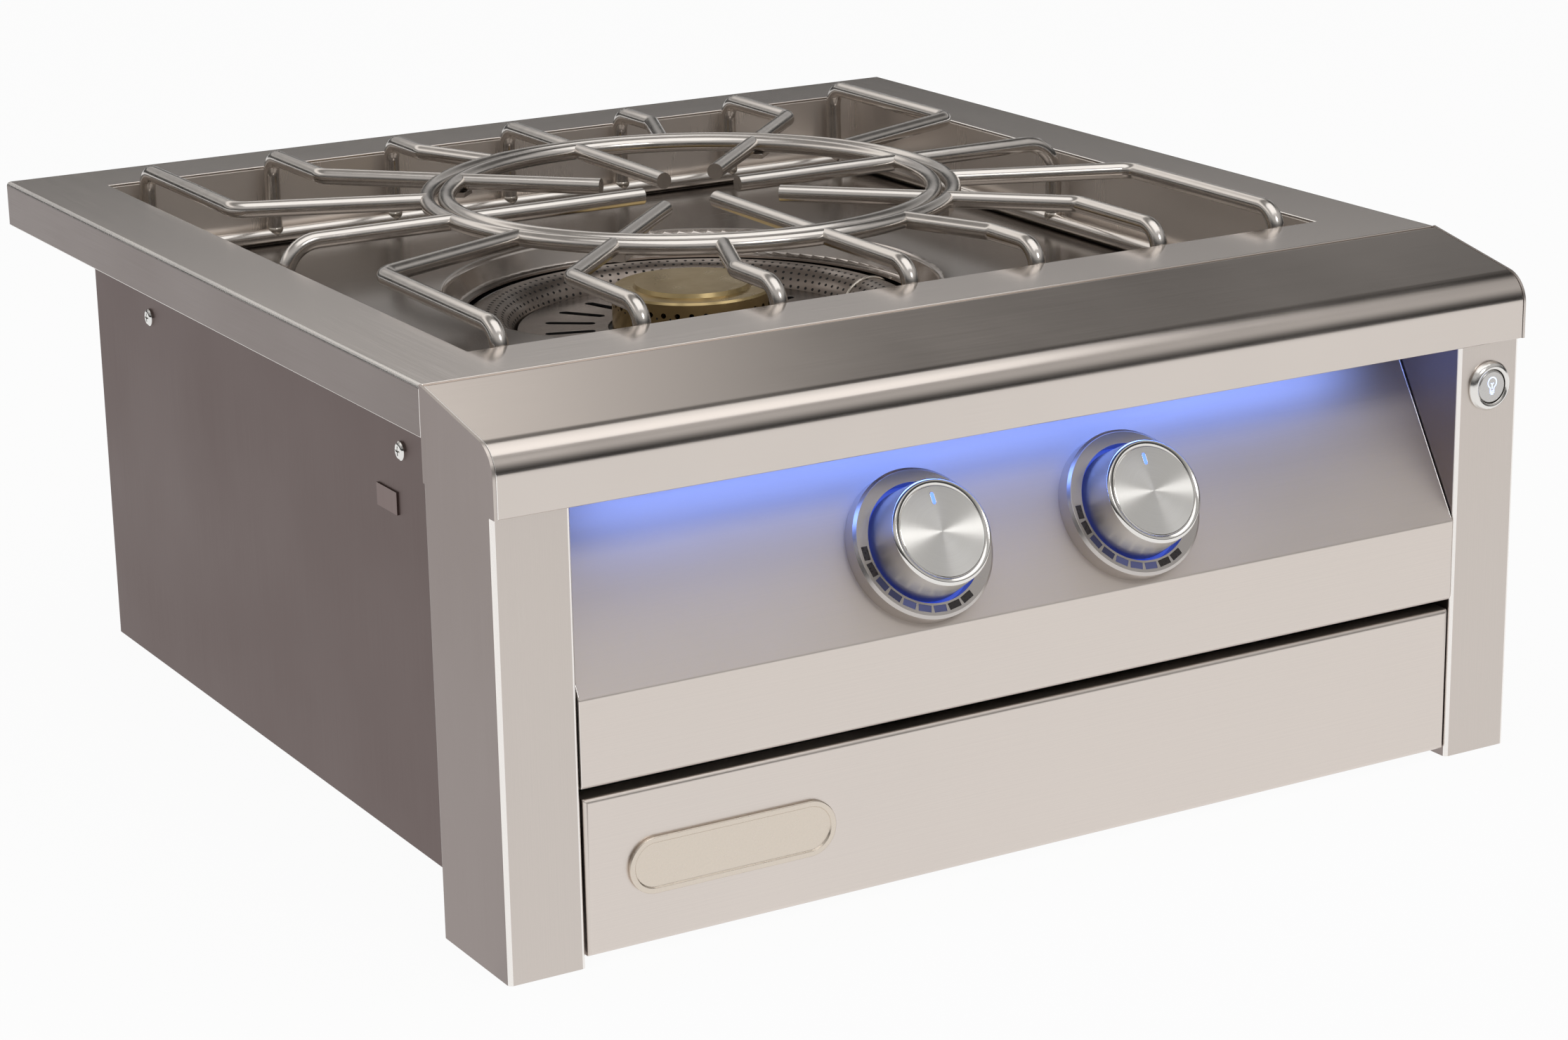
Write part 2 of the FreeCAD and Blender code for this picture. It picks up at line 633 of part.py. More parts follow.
def burner_head():
    """Brass head with a raised disc and a row of ports under its rim."""
    z_rim = z_plate + HEAD_H
    inner = HEAD_R - HEAD_WALL
    edge = HEAD_WALL / 4
    profile = [(inner, z_plate), (HEAD_R, z_plate), (HEAD_R, z_rim - edge), (HEAD_R - edge, z_rim),
               (HEAD_STEP_R + HEAD_STEP_H / 2, z_rim), (HEAD_STEP_R, z_rim + HEAD_STEP_H),
               (0, z_rim + HEAD_STEP_H), (0, z_rim - HEAD_WALL / 2), (inner, z_rim - HEAD_WALL / 2)]
    head = turned(profile, burner)
    ports = []
    for index in range(HEAD_PORTS):
        angle = math.radians(index * 360 / HEAD_PORTS)
        out = V(math.cos(angle), math.sin(angle), 0)
        start = burner + out * (inner - 1) + V(0, 0, z_rim - HEAD_PORT_DROP)
        ports.append(cylinder(start, out, HEAD_PORT_R, HEAD_WALL + 2))
    return cut(head, group(ports))


def igniter_point():
    angle = math.radians(IGNITER_ANGLE)
    return burner + V(IGNITER_AT * math.cos(angle), IGNITER_AT * math.sin(angle), 0)


def igniter():
    """Ceramic electrode on the bridge, with its steel tip between the two burners."""
    spot = igniter_point()
    height = z_plate + SHEET + 1 - z_bridge
    ceramic = cylinder(V(spot.x, spot.y, z_bridge), UP, IGNITER_R, height)
    pin = cylinder(V(spot.x, spot.y, z_bridge), UP, IGNITER_PIN_R, height + IGNITER_TIP)
    return fuse(ceramic, pin)


def spark_module():
    across, along, up = MODULE_SIZE
    return box(-x_body, -x_body + across, y_module - along / 2, y_module + along / 2, BOX_Z, BOX_Z + up)


def igniter_lead():
    """Lead from the spark module to the electrode, laid over the rails and round the pot."""
    z = z_bridge + LEAD_UP
    spot = igniter_point()
    side = -(RING_R - RING_TUBE_R)
    points = [V(-x_body + MODULE_SIZE[0], y_module, z), V(side - RING_TUBE_R, y_module, z),
              V(side, y_mid - RAIL_OFFSET / 2, z), V(-BRIDGE_HALF, spot.y - 2 * LEAD_BEND / 3, z),
              V(spot.x, spot.y, z)]
    return tube(points, LEAD_R, [LEAD_BEND] * 3)


def led_driver():
    across, along, up = DRIVER_SIZE
    return box(x_body - across, x_body, y_driver - along / 2, y_driver + along / 2, BOX_Z, BOX_Z + up)


def led_channel():
    half = x_return - LED_END
    z_low = z_header + LED_UP + LED_LENS_H
    channel = box(-half, half, y_column, y_column + LED_D, z_low, z_low + LED_H)
    groove = box(-half, half, y_column + SHEET, y_column + LED_D - SHEET, z_low, z_low + LED_H - SHEET)
    return cut(channel, groove)


def led_lens():
    half = x_return - LED_END
    z_low = z_header + LED_UP
    return box(-half, half, y_column, y_column + LED_D, z_low, z_low + LED_LENS_H)


def power_gland():
    """Cable gland in the rear panel, with no cord in it."""
    gland = V(GLAND_X, y_body, GLAND_Z)
    neck_r = GLAND_R * GLAND_NECK
    neck = cylinder(gland - V(0, GLAND_OUT / 2, 0), Y_AXIS, neck_r, GLAND_OUT / 2 + SHEET)
    cap = cylinder(gland + V(0, SHEET, 0), Y_AXIS, GLAND_R, GLAND_OUT)
    nut = cylinder(gland - V(0, GLAND_OUT / 3, 0), Y_AXIS, GLAND_R, GLAND_OUT / 3)
    bore = cylinder(gland - V(0, GLAND_OUT, 0), Y_AXIS, GLAND_BORE_R, 3 * GLAND_OUT)
    return cut(fuse(neck, cap, nut), bore)


def inlet_point():
    """Centre of the supply pipe, where the manifold's elbow turns to the rear."""
    line = knob_point(1, -MANIFOLD_DROP, -SPIGOT_IN)
    return V(MANIFOLD_RIGHT, line.y, line.z)


def manifold():
    """Gas manifold under the valves, capped at its left end, turning to the rear panel at its right."""
    corner = inlet_point()
    points = [V(-MANIFOLD_LEFT, corner.y, corner.z), corner, V(corner.x, y_body, corner.z)]
    outer = tube(points, MANIFOLD_R, [SUPPLY_BEND])
    points[0] = points[0] + V(MANIFOLD_WALL, 0, 0)
    bore = tube(points, MANIFOLD_R - MANIFOLD_WALL, [SUPPLY_BEND])
    return cut(outer, bore)


def hexagon(start, radius, length):
    """Hexagonal bar along +Y."""
    corners = []
    for index in range(6):
        angle = math.radians(60 * index)
        corners.append(start + V(radius * math.cos(angle), 0, radius * math.sin(angle)))
    return Part.Face(Part.makePolygon(corners + corners[:1])).extrude(V(0, length, 0))


def gas_inlet():
    """Inlet fitting outside the rear panel, with a male pipe thread to the rear."""
    corner = inlet_point()
    start = V(corner.x, y_body + SHEET, corner.z)
    nut = hexagon(start, INLET_HEX_R, INLET_HEX_L)
    thread = cylinder(start + V(0, INLET_HEX_L, 0), Y_AXIS, INLET_THREAD_R, INLET_THREAD_L)
    neck = cylinder(start - V(0, SHEET, 0), Y_AXIS, MANIFOLD_R, SHEET)
    length = SHEET + INLET_HEX_L + INLET_THREAD_L
    bore = cylinder(start - V(0, SHEET, 0), Y_AXIS, MANIFOLD_R - MANIFOLD_WALL, length)
    return cut(fuse(nut, thread, neck), bore)


def valve(side):
    """Gas valve bolted behind the panel, its spigot down into the manifold and its nose to the rear."""
    back = -SHEET - VALVE_PLATE_T
    plate = cylinder(V(0, 0, back), UP, VALVE_PLATE_R, VALVE_PLATE_T)
    barrel = cylinder(V(0, 0, -VALVE_L), UP, VALVE_R, VALVE_L + back)
    nose = cylinder(V(0, 0, -VALVE_L - VALVE_NOSE_L), UP, VALVE_NOSE_R, VALVE_NOSE_L)
    spigot = cylinder(V(0, 0, -SPIGOT_IN), V(0, -1, 0), SPIGOT_R, MANIFOLD_DROP - MANIFOLD_R + SPIGOT_BITE)
    body = fuse(plate, barrel, nose, spigot)
    guide_in = PLUNGER_IN + PLUNGER_L + PUSH + SEAT_GAP
    guide = cylinder(V(0, 0, -guide_in), UP, PLUNGER_R + RUNNING_GAP, VALVE_L)
    bore = cylinder(V(0, 0, -STEM_IN - PUSH - SEAT_GAP), UP, STEM_R + RUNNING_GAP, VALVE_L)
    return knob_place(cut(body, guide, bore), side)


def plunger(side):
    """Sleeve that the pushed stem carries into the valve."""
    start = V(0, 0, -PLUNGER_IN - PLUNGER_L)
    sleeve = cylinder(start, UP, PLUNGER_R, PLUNGER_L)
    return knob_place(sleeve.cut(cylinder(start, UP, STEM_R + RUNNING_GAP, PLUNGER_L)), side)


def stem(side):
    return knob_place(cylinder(V(0, 0, -STEM_IN), UP, STEM_R, STEM_IN + STEM_OUT), side)


def pointer_bar(grow, z0, z1):
    width = POINTER_W + 2 * grow
    reach = (POINTER_L - POINTER_W) / 2
    return bar(90, POINTER_R - reach, POINTER_R + reach, width, z0, z1)


def knob(side):
    """Knob with a slightly tapered skirt, a bevelled rim and a sunk round face."""
    top_r = KNOB_R - KNOB_TAPER
    z_face = KNOB_TOP - KNOB_FACE_SINK
    inner = KNOB_R - KNOB_WALL
    z_inner = z_face - KNOB_WALL
    profile = [(inner, knob_back), (KNOB_R, knob_back), (top_r, KNOB_TOP - KNOB_EDGE),
               (top_r - KNOB_EDGE, KNOB_TOP), (KNOB_FACE_R, z_face), (0, z_face), (0, z_inner),
               (inner, z_inner)]
    skirt = turned(profile)
    hub = cylinder(V(0, 0, knob_back), UP, KNOB_HUB_R, z_inner - knob_back + KNOB_WALL / 2)
    bore = cylinder(V(0, 0, 0), UP, STEM_R + RUNNING_GAP, STEM_OUT + RUNNING_GAP)
    slot = pointer_bar(RUNNING_GAP, z_face - POINTER_DEPTH, KNOB_TOP)
    return knob_place(cut(fuse(skirt, hub), bore, slot), side)


def knob_pointer(side):
    z_face = KNOB_TOP - KNOB_FACE_SINK
    return knob_place(pointer_bar(0, z_face - POINTER_DEPTH, z_face), side)


def window_box(index, grow, depth):
    """Box of one dial window, square to the dial's radius."""
    long_half = WINDOW_L / 2 + grow
    wide_half = WINDOW_W / 2 + grow
    shape = box(DIAL_R - wide_half, DIAL_R + wide_half, -long_half, long_half, BEZEL_H - depth, BEZEL_H)
    shape.rotate(ORIGIN, UP, DIAL_FIRST + index * DIAL_STEP)
    return shape


def bezel(side):
    """Ring round the knob, with a row of sunk windows along its lower arc."""
    profile = [(BEZEL_BORE, 0), (BEZEL_R, 0), (BEZEL_R, BEZEL_H - BEZEL_EDGE),
               (BEZEL_R - BEZEL_EDGE, BEZEL_H), (BEZEL_BORE, BEZEL_H)]
    sunk = [window_box(index, RUNNING_GAP, WINDOW_DEPTH) for index in range(DIAL_WINDOWS)]
    return knob_place(cut(turned(profile), *sunk), side)


def dial_windows():
    windows = [window_box(index, 0, WINDOW_DEPTH) for index in range(DIAL_WINDOWS)]
    return group(knob_place(window, side) for side in (-1, 1) for window in windows)


def halo_rings():
    """Light ring on the panel in the gap between each knob and its bezel."""
    outer = BEZEL_BORE - RUNNING_GAP
    ring = turned([(HALO_R, 0), (outer, 0), (outer, HALO_H), (HALO_R, HALO_H)])
    return group(knob_place(ring, side) for side in (-1, 1))


def gas_tube_left():
    """Tube from the left valve to the pot's orifice."""
    start = knob_point(-1, 0, -VALVE_L - VALVE_NOSE_L)
    along = (start - knob_point(-1, 0, 0)).normalize()
    end = V(0, y_open_front + POT_MOUTH + ORIFICE_BITE - ORIFICE_L, z_bridge + MIX_TUBE_UP)
    points = [start, start + along * 2 * GAS_TUBE_BEND, end - V(0, 3 * GAS_TUBE_BEND, 0), end]
    return tube(points, GAS_TUBE_R, [GAS_TUBE_BEND] * 2)


def gas_tube_right():
    """Tube from the right valve up to the ring burner's orifice."""
    start = knob_point(1, 0, -VALVE_L - VALVE_NOSE_L)
    along = (start - knob_point(1, 0, 0)).normalize()
    end = V(start.x, y_open_front + BURNER_MOUTH + ORIFICE_BITE - ORIFICE_L, z_ring)
    points = [start, start + along * 2 * GAS_TUBE_BEND, end - V(0, 2 * GAS_TUBE_BEND, 0), end]
    return tube(points, GAS_TUBE_R, [GAS_TUBE_BEND] * 2)


def gas_orifices():
    """Brass orifice at the mouth of each burner's mixing tube."""
    mouths = [V(0, y_open_front + POT_MOUTH, z_bridge + MIX_TUBE_UP),
              V(KNOB_SPACING / 2, y_open_front + BURNER_MOUTH, z_ring)]
    back = V(0, ORIFICE_BITE - ORIFICE_L, 0)
    return group(hexagon(mouth + back, ORIFICE_R, ORIFICE_L) for mouth in mouths)


def button_at(y):
    return V(button_x(), y, HEIGHT - BUTTON_DROP)


def button_ring():
    """Domed ring of the light switch, with its threaded neck through the column."""
    crown = BUTTON_R + (BUTTON_RING_R - BUTTON_R) * 0.4
    profile = [(BUTTON_R + SEAT_GAP, 0), (BUTTON_RING_R, 0), (BUTTON_RING_R, BUTTON_RING_H * 0.3),
               (BUTTON_RING_R - BUTTON_RING_H * 0.3, BUTTON_RING_H * 0.75), (crown, BUTTON_RING_H),
               (BUTTON_R + SEAT_GAP, BUTTON_RING_H * 0.8)]
    ring = turned(profile)
    neck = cylinder(V(0, 0, -BUTTON_H), UP, SWITCH_R, BUTTON_H)
    bore = cylinder(V(0, 0, -BUTTON_H), UP, BUTTON_R + SEAT_GAP, 2 * BUTTON_H)
    shape = cut(fuse(ring, neck), bore)
    shape.rotate(ORIGIN, X_AXIS, 90)
    shape.translate(button_at(y_column))
    return shape


def button_cap():
    z_top = BUTTON_RING_H - BUTTON_SINK
    edge = BUTTON_SINK
    cap = turned([(0, z_top - BUTTON_H), (BUTTON_R, z_top - BUTTON_H), (BUTTON_R, z_top - edge),
                  (BUTTON_R - edge, z_top), (0, z_top)])
    cap.rotate(ORIGIN, X_AXIS, 90)
    cap.translate(button_at(y_column))
    return cap


def switch_body():
    return cylinder(button_at(y_column + BUTTON_H), Y_AXIS, SWITCH_R, SWITCH_L)


def switch_nut():
    nut = hexagon(button_at(y_column + SHEET), SWITCH_NUT_R, SWITCH_NUT_H)
    return nut.cut(cylinder(button_at(y_column), Y_AXIS, SWITCH_R + RUNNING_GAP, 2 * SWITCH_NUT_H))


def tray_front():
    """Tray front folded on all four edges."""
    half = x_tray_front
    block = box(-half, half, y_column, y_column + TRAY_FRONT_RETURN, TRAY_FRONT_Z, z_tray_front)
    front_edges = [edge for edge in block.Edges if abs(edge.CenterOfMass.y - y_column) < 1e-6]
    block = block.makeFillet(BEND_R, front_edges)
    hollow = box(-half + SHEET, half - SHEET, y_column + SHEET, y_column + TRAY_FRONT_RETURN,
                 TRAY_FRONT_Z + SHEET, z_tray_front - SHEET)
    return block.cut(hollow)


def tray_pan():
    """Drip tray with flanges that ride in the rails."""
    y_start = y_column + SHEET
    outer = box(-tray_half, tray_half, y_start, y_tray_rear, TRAY_Z, z_tray_top)
    inner = box(-tray_half + TRAY_SHEET, tray_half - TRAY_SHEET,
                y_start + TRAY_SHEET, y_tray_rear - TRAY_SHEET, TRAY_Z + TRAY_SHEET, z_tray_top)
    y_lip = y_column + TRAY_FRONT_RETURN + SHEET
    lip = box(tray_half - TRAY_SHEET, tray_half + TRAY_LIP, y_lip, y_tray_rear,
              z_tray_top - TRAY_SHEET, z_tray_top)
    return fuse(cut(outer, inner), lip, mirrored(lip))


def tray_rails():
    """Channel rail on each side panel for the tray's flange."""
    y_start = y_column + RETURN_DEPTH + JOINT_GAP
    z_low = z_tray_top - TRAY_SHEET - SEAT_GAP - SHEET
    z_high = z_tray_top + RAIL_ROOM + SHEET
    rail = box(x_return - RAIL_LIP, x_body, y_start, y_body, z_low, z_high)
    groove = box(x_return - RAIL_LIP, x_return, y_start, y_body, z_low + SHEET, z_high - SHEET)
    right = rail.cut(groove)
    return group([right, mirrored(right)])


def badge_plate():
    """Blank oval plate with a raised rim, on the tray front."""
    x = -x_tray_front + BADGE_INSET + BADGE_L / 2
    z = (TRAY_FRONT_Z + z_tray_front) / 2

    def stadium(shrink, y0, y1):
        radius = BADGE_H / 2 - shrink
        reach = (BADGE_L - BADGE_H) / 2
        middle = box(x - reach, x + reach, y0, y1, z - radius, z + radius)
        ends = [cylinder(V(x + side * reach, y0, z), Y_AXIS, radius, y1 - y0) for side in (-1, 1)]
        return fuse(middle, *ends)

    plate = stadium(0, y_column - BADGE_T, y_column)
    return cut(plate, stadium(BADGE_RIM, y_column - BADGE_T, y_column - BADGE_T + BADGE_SINK))


def leg_reach():
    return (y_open_rear - y_open_front) / 2 - LEG_INSET


def grate_spokes():
    """Bent rods from the ring to the firebox walls, turned down there as legs."""
    spokes = []
    pitch = 2 * (x_open - SPOKE_EDGE) / (SPOKES_A_SIDE - 1)
    step = 180 / (SPOKES_A_SIDE + 1)
    for side in (-1, 1):
        y_leg = y_mid + side * leg_reach()
        for index in range(SPOKES_A_SIDE):
            place = index - (SPOKES_A_SIDE - 1) // 2
            x = place * pitch
            angle = math.radians(place * step)
            end = V(GRATE_RING_R * math.sin(angle), y_mid + side * GRATE_RING_R * math.cos(angle), z_rod)
            points = [V(x, y_leg, z_frame), V(x, y_leg, z_rod), end]
            bends = [LEG_BEND]
            if place:
                turn_at = min(abs(x / math.tan(angle)), leg_reach() - 2 * LEG_BEND)
                points.insert(2, V(x, y_mid + side * turn_at, z_rod))
                bends.append(SPOKE_BEND)
            spokes.append(tube(points, ROD_R, bends))
    for side in (-1, 1):
        x = side * (x_open - LEG_INSET)
        points = [V(x, y_mid, z_frame), V(x, y_mid, z_rod), V(side * GRATE_RING_R, y_mid, z_rod)]
        spokes.append(tube(points, ROD_R, [SIDE_LEG_BEND]))
    return group(spokes)


def grate_frame():
    """Lower frame that joins the feet of the legs and rests on the burner pan."""
    x = x_open - LEG_INSET
    y_low = y_mid - leg_reach()
    y_high = y_mid + leg_reach()
    points = [V(0, y_low, z_frame), V(x, y_low, z_frame), V(x, y_high, z_frame), V(0, y_high, z_frame)]
    half = tube(points, ROD_R, [SPOKE_BEND] * 2)
    return fuse(half, mirrored(half))


def grate_ring():
    """Grate's ring, with lugs under it for the wok ring."""
    ring = Part.makeTorus(GRATE_RING_R, GRATE_RING_ROD_R, V(0, y_mid, z_rod), UP)
    z_weld = z_rod - GRATE_RING_ROD_R * 0.6
    z_seat = z_rod - WOK_RING_ROD_R - SEAT_GAP
    split = GRATE_RING_R - GRATE_RING_ROD_R - WOK_GAP / 2
    lugs = []
    for index in range(LUGS):
        foot = box(wok_ring_r - WOK_RING_ROD_R, GRATE_RING_R + GRATE_RING_ROD_R / 2, -LUG_W / 2, LUG_W / 2,
                   z_seat - LUG_T, z_seat)
        heel = box(split, GRATE_RING_R + GRATE_RING_ROD_R / 2, -LUG_W / 2, LUG_W / 2, z_seat, z_weld)
        lug = fuse(foot, heel)
        lug.rotate(ORIGIN, UP, (index + 0.5) * 360 / LUGS)
        lug.translate(burner)
        lugs.append(lug)
    return fuse(ring, *lugs)


def wok_ring():
    return Part.makeTorus(wok_ring_r, WOK_RING_ROD_R, V(0, y_mid, z_rod), UP)


def wok_fingers():
    """Fingers welded inside the wok ring, every second one shorter."""
    fingers = []
    for index in range(WOK_FINGERS):
        angle = math.radians(index * 360 / WOK_FINGERS)
        out = V(math.cos(angle), math.sin(angle), 0)
        inner = FINGER_SHORT if index % 2 else FINGER_LONG
        start = V(0, y_mid, z_rod) + out * inner
        fingers.append(cylinder(start, out, ROD_R, wok_ring_r - inner))
    return group(fingers)


nodes = {
    "top_rim": top_rim(),
    "front_fascia": front_fascia(),
    "left_column": column(-1),
    "right_column": column(1),
    "control_panel": control_panel(),
    "left_side_panel": side_panel(-1),
    "right_side_panel": side_panel(1),
    "side_screws": side_screws(),
    "rear_panel": rear_panel(),
    "bottom_panel": bottom_panel(),
    "firebox": firebox(),
    "burner_pan": burner_pan(),
    "burner_rails": burner_rails(),
    "burner_bridge": burner_bridge(),
    "ring_burner": ring_burner(),
    "ring_saddles": ring_saddles(),
    "air_plate": air_plate(),
    "burner_pot": burner_pot(),
    "burner_head": burner_head(),
    "igniter": igniter(),
    "igniter_lead": igniter_lead(),
    "spark_module": spark_module(),
    "led_driver": led_driver(),
    "led_channel": led_channel(),
    "led_lens": led_lens(),
    "power_gland": power_gland(),
    "manifold": manifold(),
    "gas_inlet": gas_inlet(),
    "gas_orifices": gas_orifices(),
    "gas_tube_left": gas_tube_left(),
    "gas_tube_right": gas_tube_right(),
    "dial_windows": dial_windows(),
    "halo_rings": halo_rings(),
    "button_ring": button_ring(),
    "button_cap": button_cap(),
    "switch_body": switch_body(),
    "switch_nut": switch_nut(),
    "tray_rails": tray_rails(),
    "tray_front": tray_front(),
    "tray_pan": tray_pan(),
    "badge_plate": badge_plate(),
    "grate_ring": grate_ring(),
    "grate_spokes": grate_spokes(),
    "grate_frame": grate_frame(),
    "wok_ring": wok_ring(),
    "wok_fingers": wok_fingers(),
}
for word, side in (("left", -1), ("right", 1)):
    nodes["valve_" + word] = valve(side)
    nodes["plunger_" + word] = plunger(side)
    nodes["stem_" + word] = stem(side)
    nodes["knob_" + word] = knob(side)
    nodes["knob_pointer_" + word] = knob_pointer(side)
    nodes["bezel_" + word] = bezel(side)

os.makedirs("parts", exist_ok=True)
for name, shape in nodes.items():
    shape.exportStep("parts/" + name + ".step")
    state = "valid" if shape.isValid() else "NOT VALID"
    print(name, len(shape.Solids), "solid(s)", state, round(shape.Volume), "mm3")
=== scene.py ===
"""Looks of a built-in gas power burner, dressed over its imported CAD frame.

Sheet-steel pieces are finished copies of the frame's own nodes. Rods, rings, ports and weld beads come from
Geometry Nodes, and the knobs are lathed. Metres throughout, in the frame's own axes.
"""
import json
import math

import bmesh
import bpy
from bpy.props import FloatProperty, FloatVectorProperty, IntProperty, PointerProperty
from mathutils import Matrix, Vector


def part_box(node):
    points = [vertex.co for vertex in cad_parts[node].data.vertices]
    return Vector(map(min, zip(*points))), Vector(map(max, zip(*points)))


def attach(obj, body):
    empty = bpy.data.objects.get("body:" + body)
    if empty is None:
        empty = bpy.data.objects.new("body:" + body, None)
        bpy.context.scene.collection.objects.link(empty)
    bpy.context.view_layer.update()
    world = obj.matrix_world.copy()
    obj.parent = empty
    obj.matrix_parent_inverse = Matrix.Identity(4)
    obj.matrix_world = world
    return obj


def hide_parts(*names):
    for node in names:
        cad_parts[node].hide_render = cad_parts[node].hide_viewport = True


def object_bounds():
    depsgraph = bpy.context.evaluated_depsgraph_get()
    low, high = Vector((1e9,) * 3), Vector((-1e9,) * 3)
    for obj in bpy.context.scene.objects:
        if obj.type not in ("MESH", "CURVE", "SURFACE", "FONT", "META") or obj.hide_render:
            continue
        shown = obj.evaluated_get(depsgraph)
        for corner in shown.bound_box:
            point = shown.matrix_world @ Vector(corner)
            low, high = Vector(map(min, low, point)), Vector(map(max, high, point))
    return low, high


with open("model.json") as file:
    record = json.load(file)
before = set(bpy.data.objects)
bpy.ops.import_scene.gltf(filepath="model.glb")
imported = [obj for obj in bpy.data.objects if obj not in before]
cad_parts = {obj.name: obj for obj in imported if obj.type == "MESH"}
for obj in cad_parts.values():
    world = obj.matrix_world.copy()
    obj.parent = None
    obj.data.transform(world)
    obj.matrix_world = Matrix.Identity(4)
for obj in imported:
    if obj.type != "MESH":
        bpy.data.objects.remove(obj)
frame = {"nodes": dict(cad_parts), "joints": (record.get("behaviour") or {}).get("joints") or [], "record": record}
CAD_LOW, CAD_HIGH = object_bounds()
NODES = frame["nodes"]
JOINTS = {joint["name"]: joint for joint in frame["joints"]}
BODIES = frame["record"]["behaviour"]["bodies"]
BODY_OF = {node: body for body, members in BODIES.items() for node in members}

bl_info = {
    "name": "Power burner looks",
    "version": (1, 0, 0),
    "blender": (4, 5, 0),
    "location": "3D View > Sidebar > Power burner",
    "description": "Dresses the packed frame of a built-in power burner",
    "category": "Object",
}

MM = 0.001
UP = Vector((0, 0, 1))

# Finishing of sheet pieces
EDGE_SEGMENTS = 2
SHARP_ANGLE = math.radians(35.0)   # edges that turn more than this are rounded
FLAT_ANGLE = math.radians(0.3)     # faces that turn less than this are joined
MERGE_GAP = 2e-6
FACING = 0.97                      # share of a normal along an axis, for a face that looks that way
TURNED_AWAY = 0.12                 # and for a rounded edge beside such a face
BRUSH_FINE = 2200.0                # brush lines per metre, across the brushing
BRUSH_LONG = 14.0                  # and along it
BRUSH_DEPTH = 0.00006

# Places that the frame's boxes don't give
STRIP_REACH, STRIP_FADE = 255 * MM, 40 * MM   # lit half length of the light strip, and its fading end
STRIP_DEPTH = 14 * MM
RIM_RAIL = 47 * MM                 # width of the rim's side rails
PANEL_FOOT, PANEL_HEAD = 136 * MM, 229 * MM   # heights of the slanting panel's lower and upper edges
SLOTS_IN, SLOTS_OUT = 53 * MM, 95 * MM        # reach of the air plate's slots
HEAD_PILOTS = 36
PILOT_DROP = 11.8 * MM             # brass head's top to its small ports
RING_TUBE_R = 18 * MM              # ring burner's tube
RING_ROWS = (8.0, 22.0, 36.0, 50.0, 64.0)     # lean of each row of ports inward, degrees
RING_WELD_AT = math.radians(1)
WELD_STEPS = 48
GRATE_RING_R = 149.5 * MM
SPOKE_PITCH = 79 * MM              # between legs along the front and the rear
SPOKE_STEP = math.radians(22.5)    # between spokes round the ring
SPOKES_EACH_WAY = 3                # left and right of the middle spoke
LEG_BEND, SPOKE_BEND, SIDE_LEG_BEND = 12 * MM, 10 * MM, 20 * MM
RING_STEPS = 144
FINGERS = 8
LONG_FINGER, SHORT_FINGER = 31 * MM, 53 * MM  # fingers' inner ends from the ring's centre
WINDOW_STEP = 14.4                 # degrees between dial windows
KNOB_SKIRT = ((25.8, 4.5), (28.8, 4.5), (29.14, 4.95), (28.86, 9.0), (27.5, 28.2))   # radius and height
KNOB_EDGE = ((27.5, 28.2), (27.44, 28.5), (27.2, 28.86), (26.7, 29.36), (26.3, 29.7), (25.9, 29.86),
             (25.5, 29.82), (24.6, 29.5), (24.0, 29.2), (23.75, 28.95), (23.45, 28.95), (23.3, 29.14),
             (23.1, 29.2))
KNOB_FACE = ((23.1, 29.2), (15.0, 29.2), (8.0, 29.2), (0.0, 29.2))
KNOB_TURNING = (("skirt", KNOB_SKIRT, "satin"), ("edge", KNOB_EDGE, "bright_edge"),
                ("face", KNOB_FACE, "sunburst"))
POINTER_AT, POINTER_HALF, POINTER_R = 17.0, 2.1, 1.15   # pointer on the knob's face, millimetres
SYMBOL_RISE = 1.0                  # bulb sign above the cap's middle, millimetres

# Grey of the studio's sky: by height in front of the object and behind it, and across the sky behind it
SKY_FRONT = ((0.0, 0.03), (0.15, 0.04), (0.30, 0.18), (0.45, 0.44), (0.57, 0.57), (0.8, 0.47),
             (1.0, 0.40))
SKY_LOW_BACK = ((0.0, 0.04), (0.15, 0.04), (0.20, 0.10), (0.222, 0.27), (0.238, 0.70), (0.253, 1.02),
                (0.270, 0.66), (0.290, 0.34), (1.0, 0.30))
SKY_HIGH_BACK = ((0.0, 1.15), (0.50, 1.15), (0.64, 1.1), (0.72, 0.30), (0.84, 0.25), (1.0, 0.45))
SKY_ACROSS = ((0.0, 1.0), (0.5, 1.0), (0.69, 1.0), (0.725, 0.55), (0.755, 0.17), (0.82, 0.09),
              (1.0, 0.08))


class BurnerSizes(bpy.types.PropertyGroup):
    """Sizes of the details that the looks add to the frame."""

    edge: FloatProperty(name="Sheet edge", description="Rounding of a cut sheet edge",
                        default=0.45 * MM, unit="LENGTH")
    rod_sides: IntProperty(name="Rod sides", description="Facets round a rod", default=20)
    weld: FloatProperty(name="Weld bead", description="Radius of a weld bead",
                        default=3.4 * MM, unit="LENGTH")
    port: FloatProperty(name="Ring port", description="Radius of a port in the ring burner",
                        default=0.95 * MM, unit="LENGTH")
    port_pitch: FloatProperty(name="Port pitch", description="Distance between ports in a row",
                              default=5.4 * MM, unit="LENGTH")
    pilot_port: FloatProperty(name="Pilot port", description="Radius of a small port in the brass head",
                              default=0.65 * MM, unit="LENGTH")


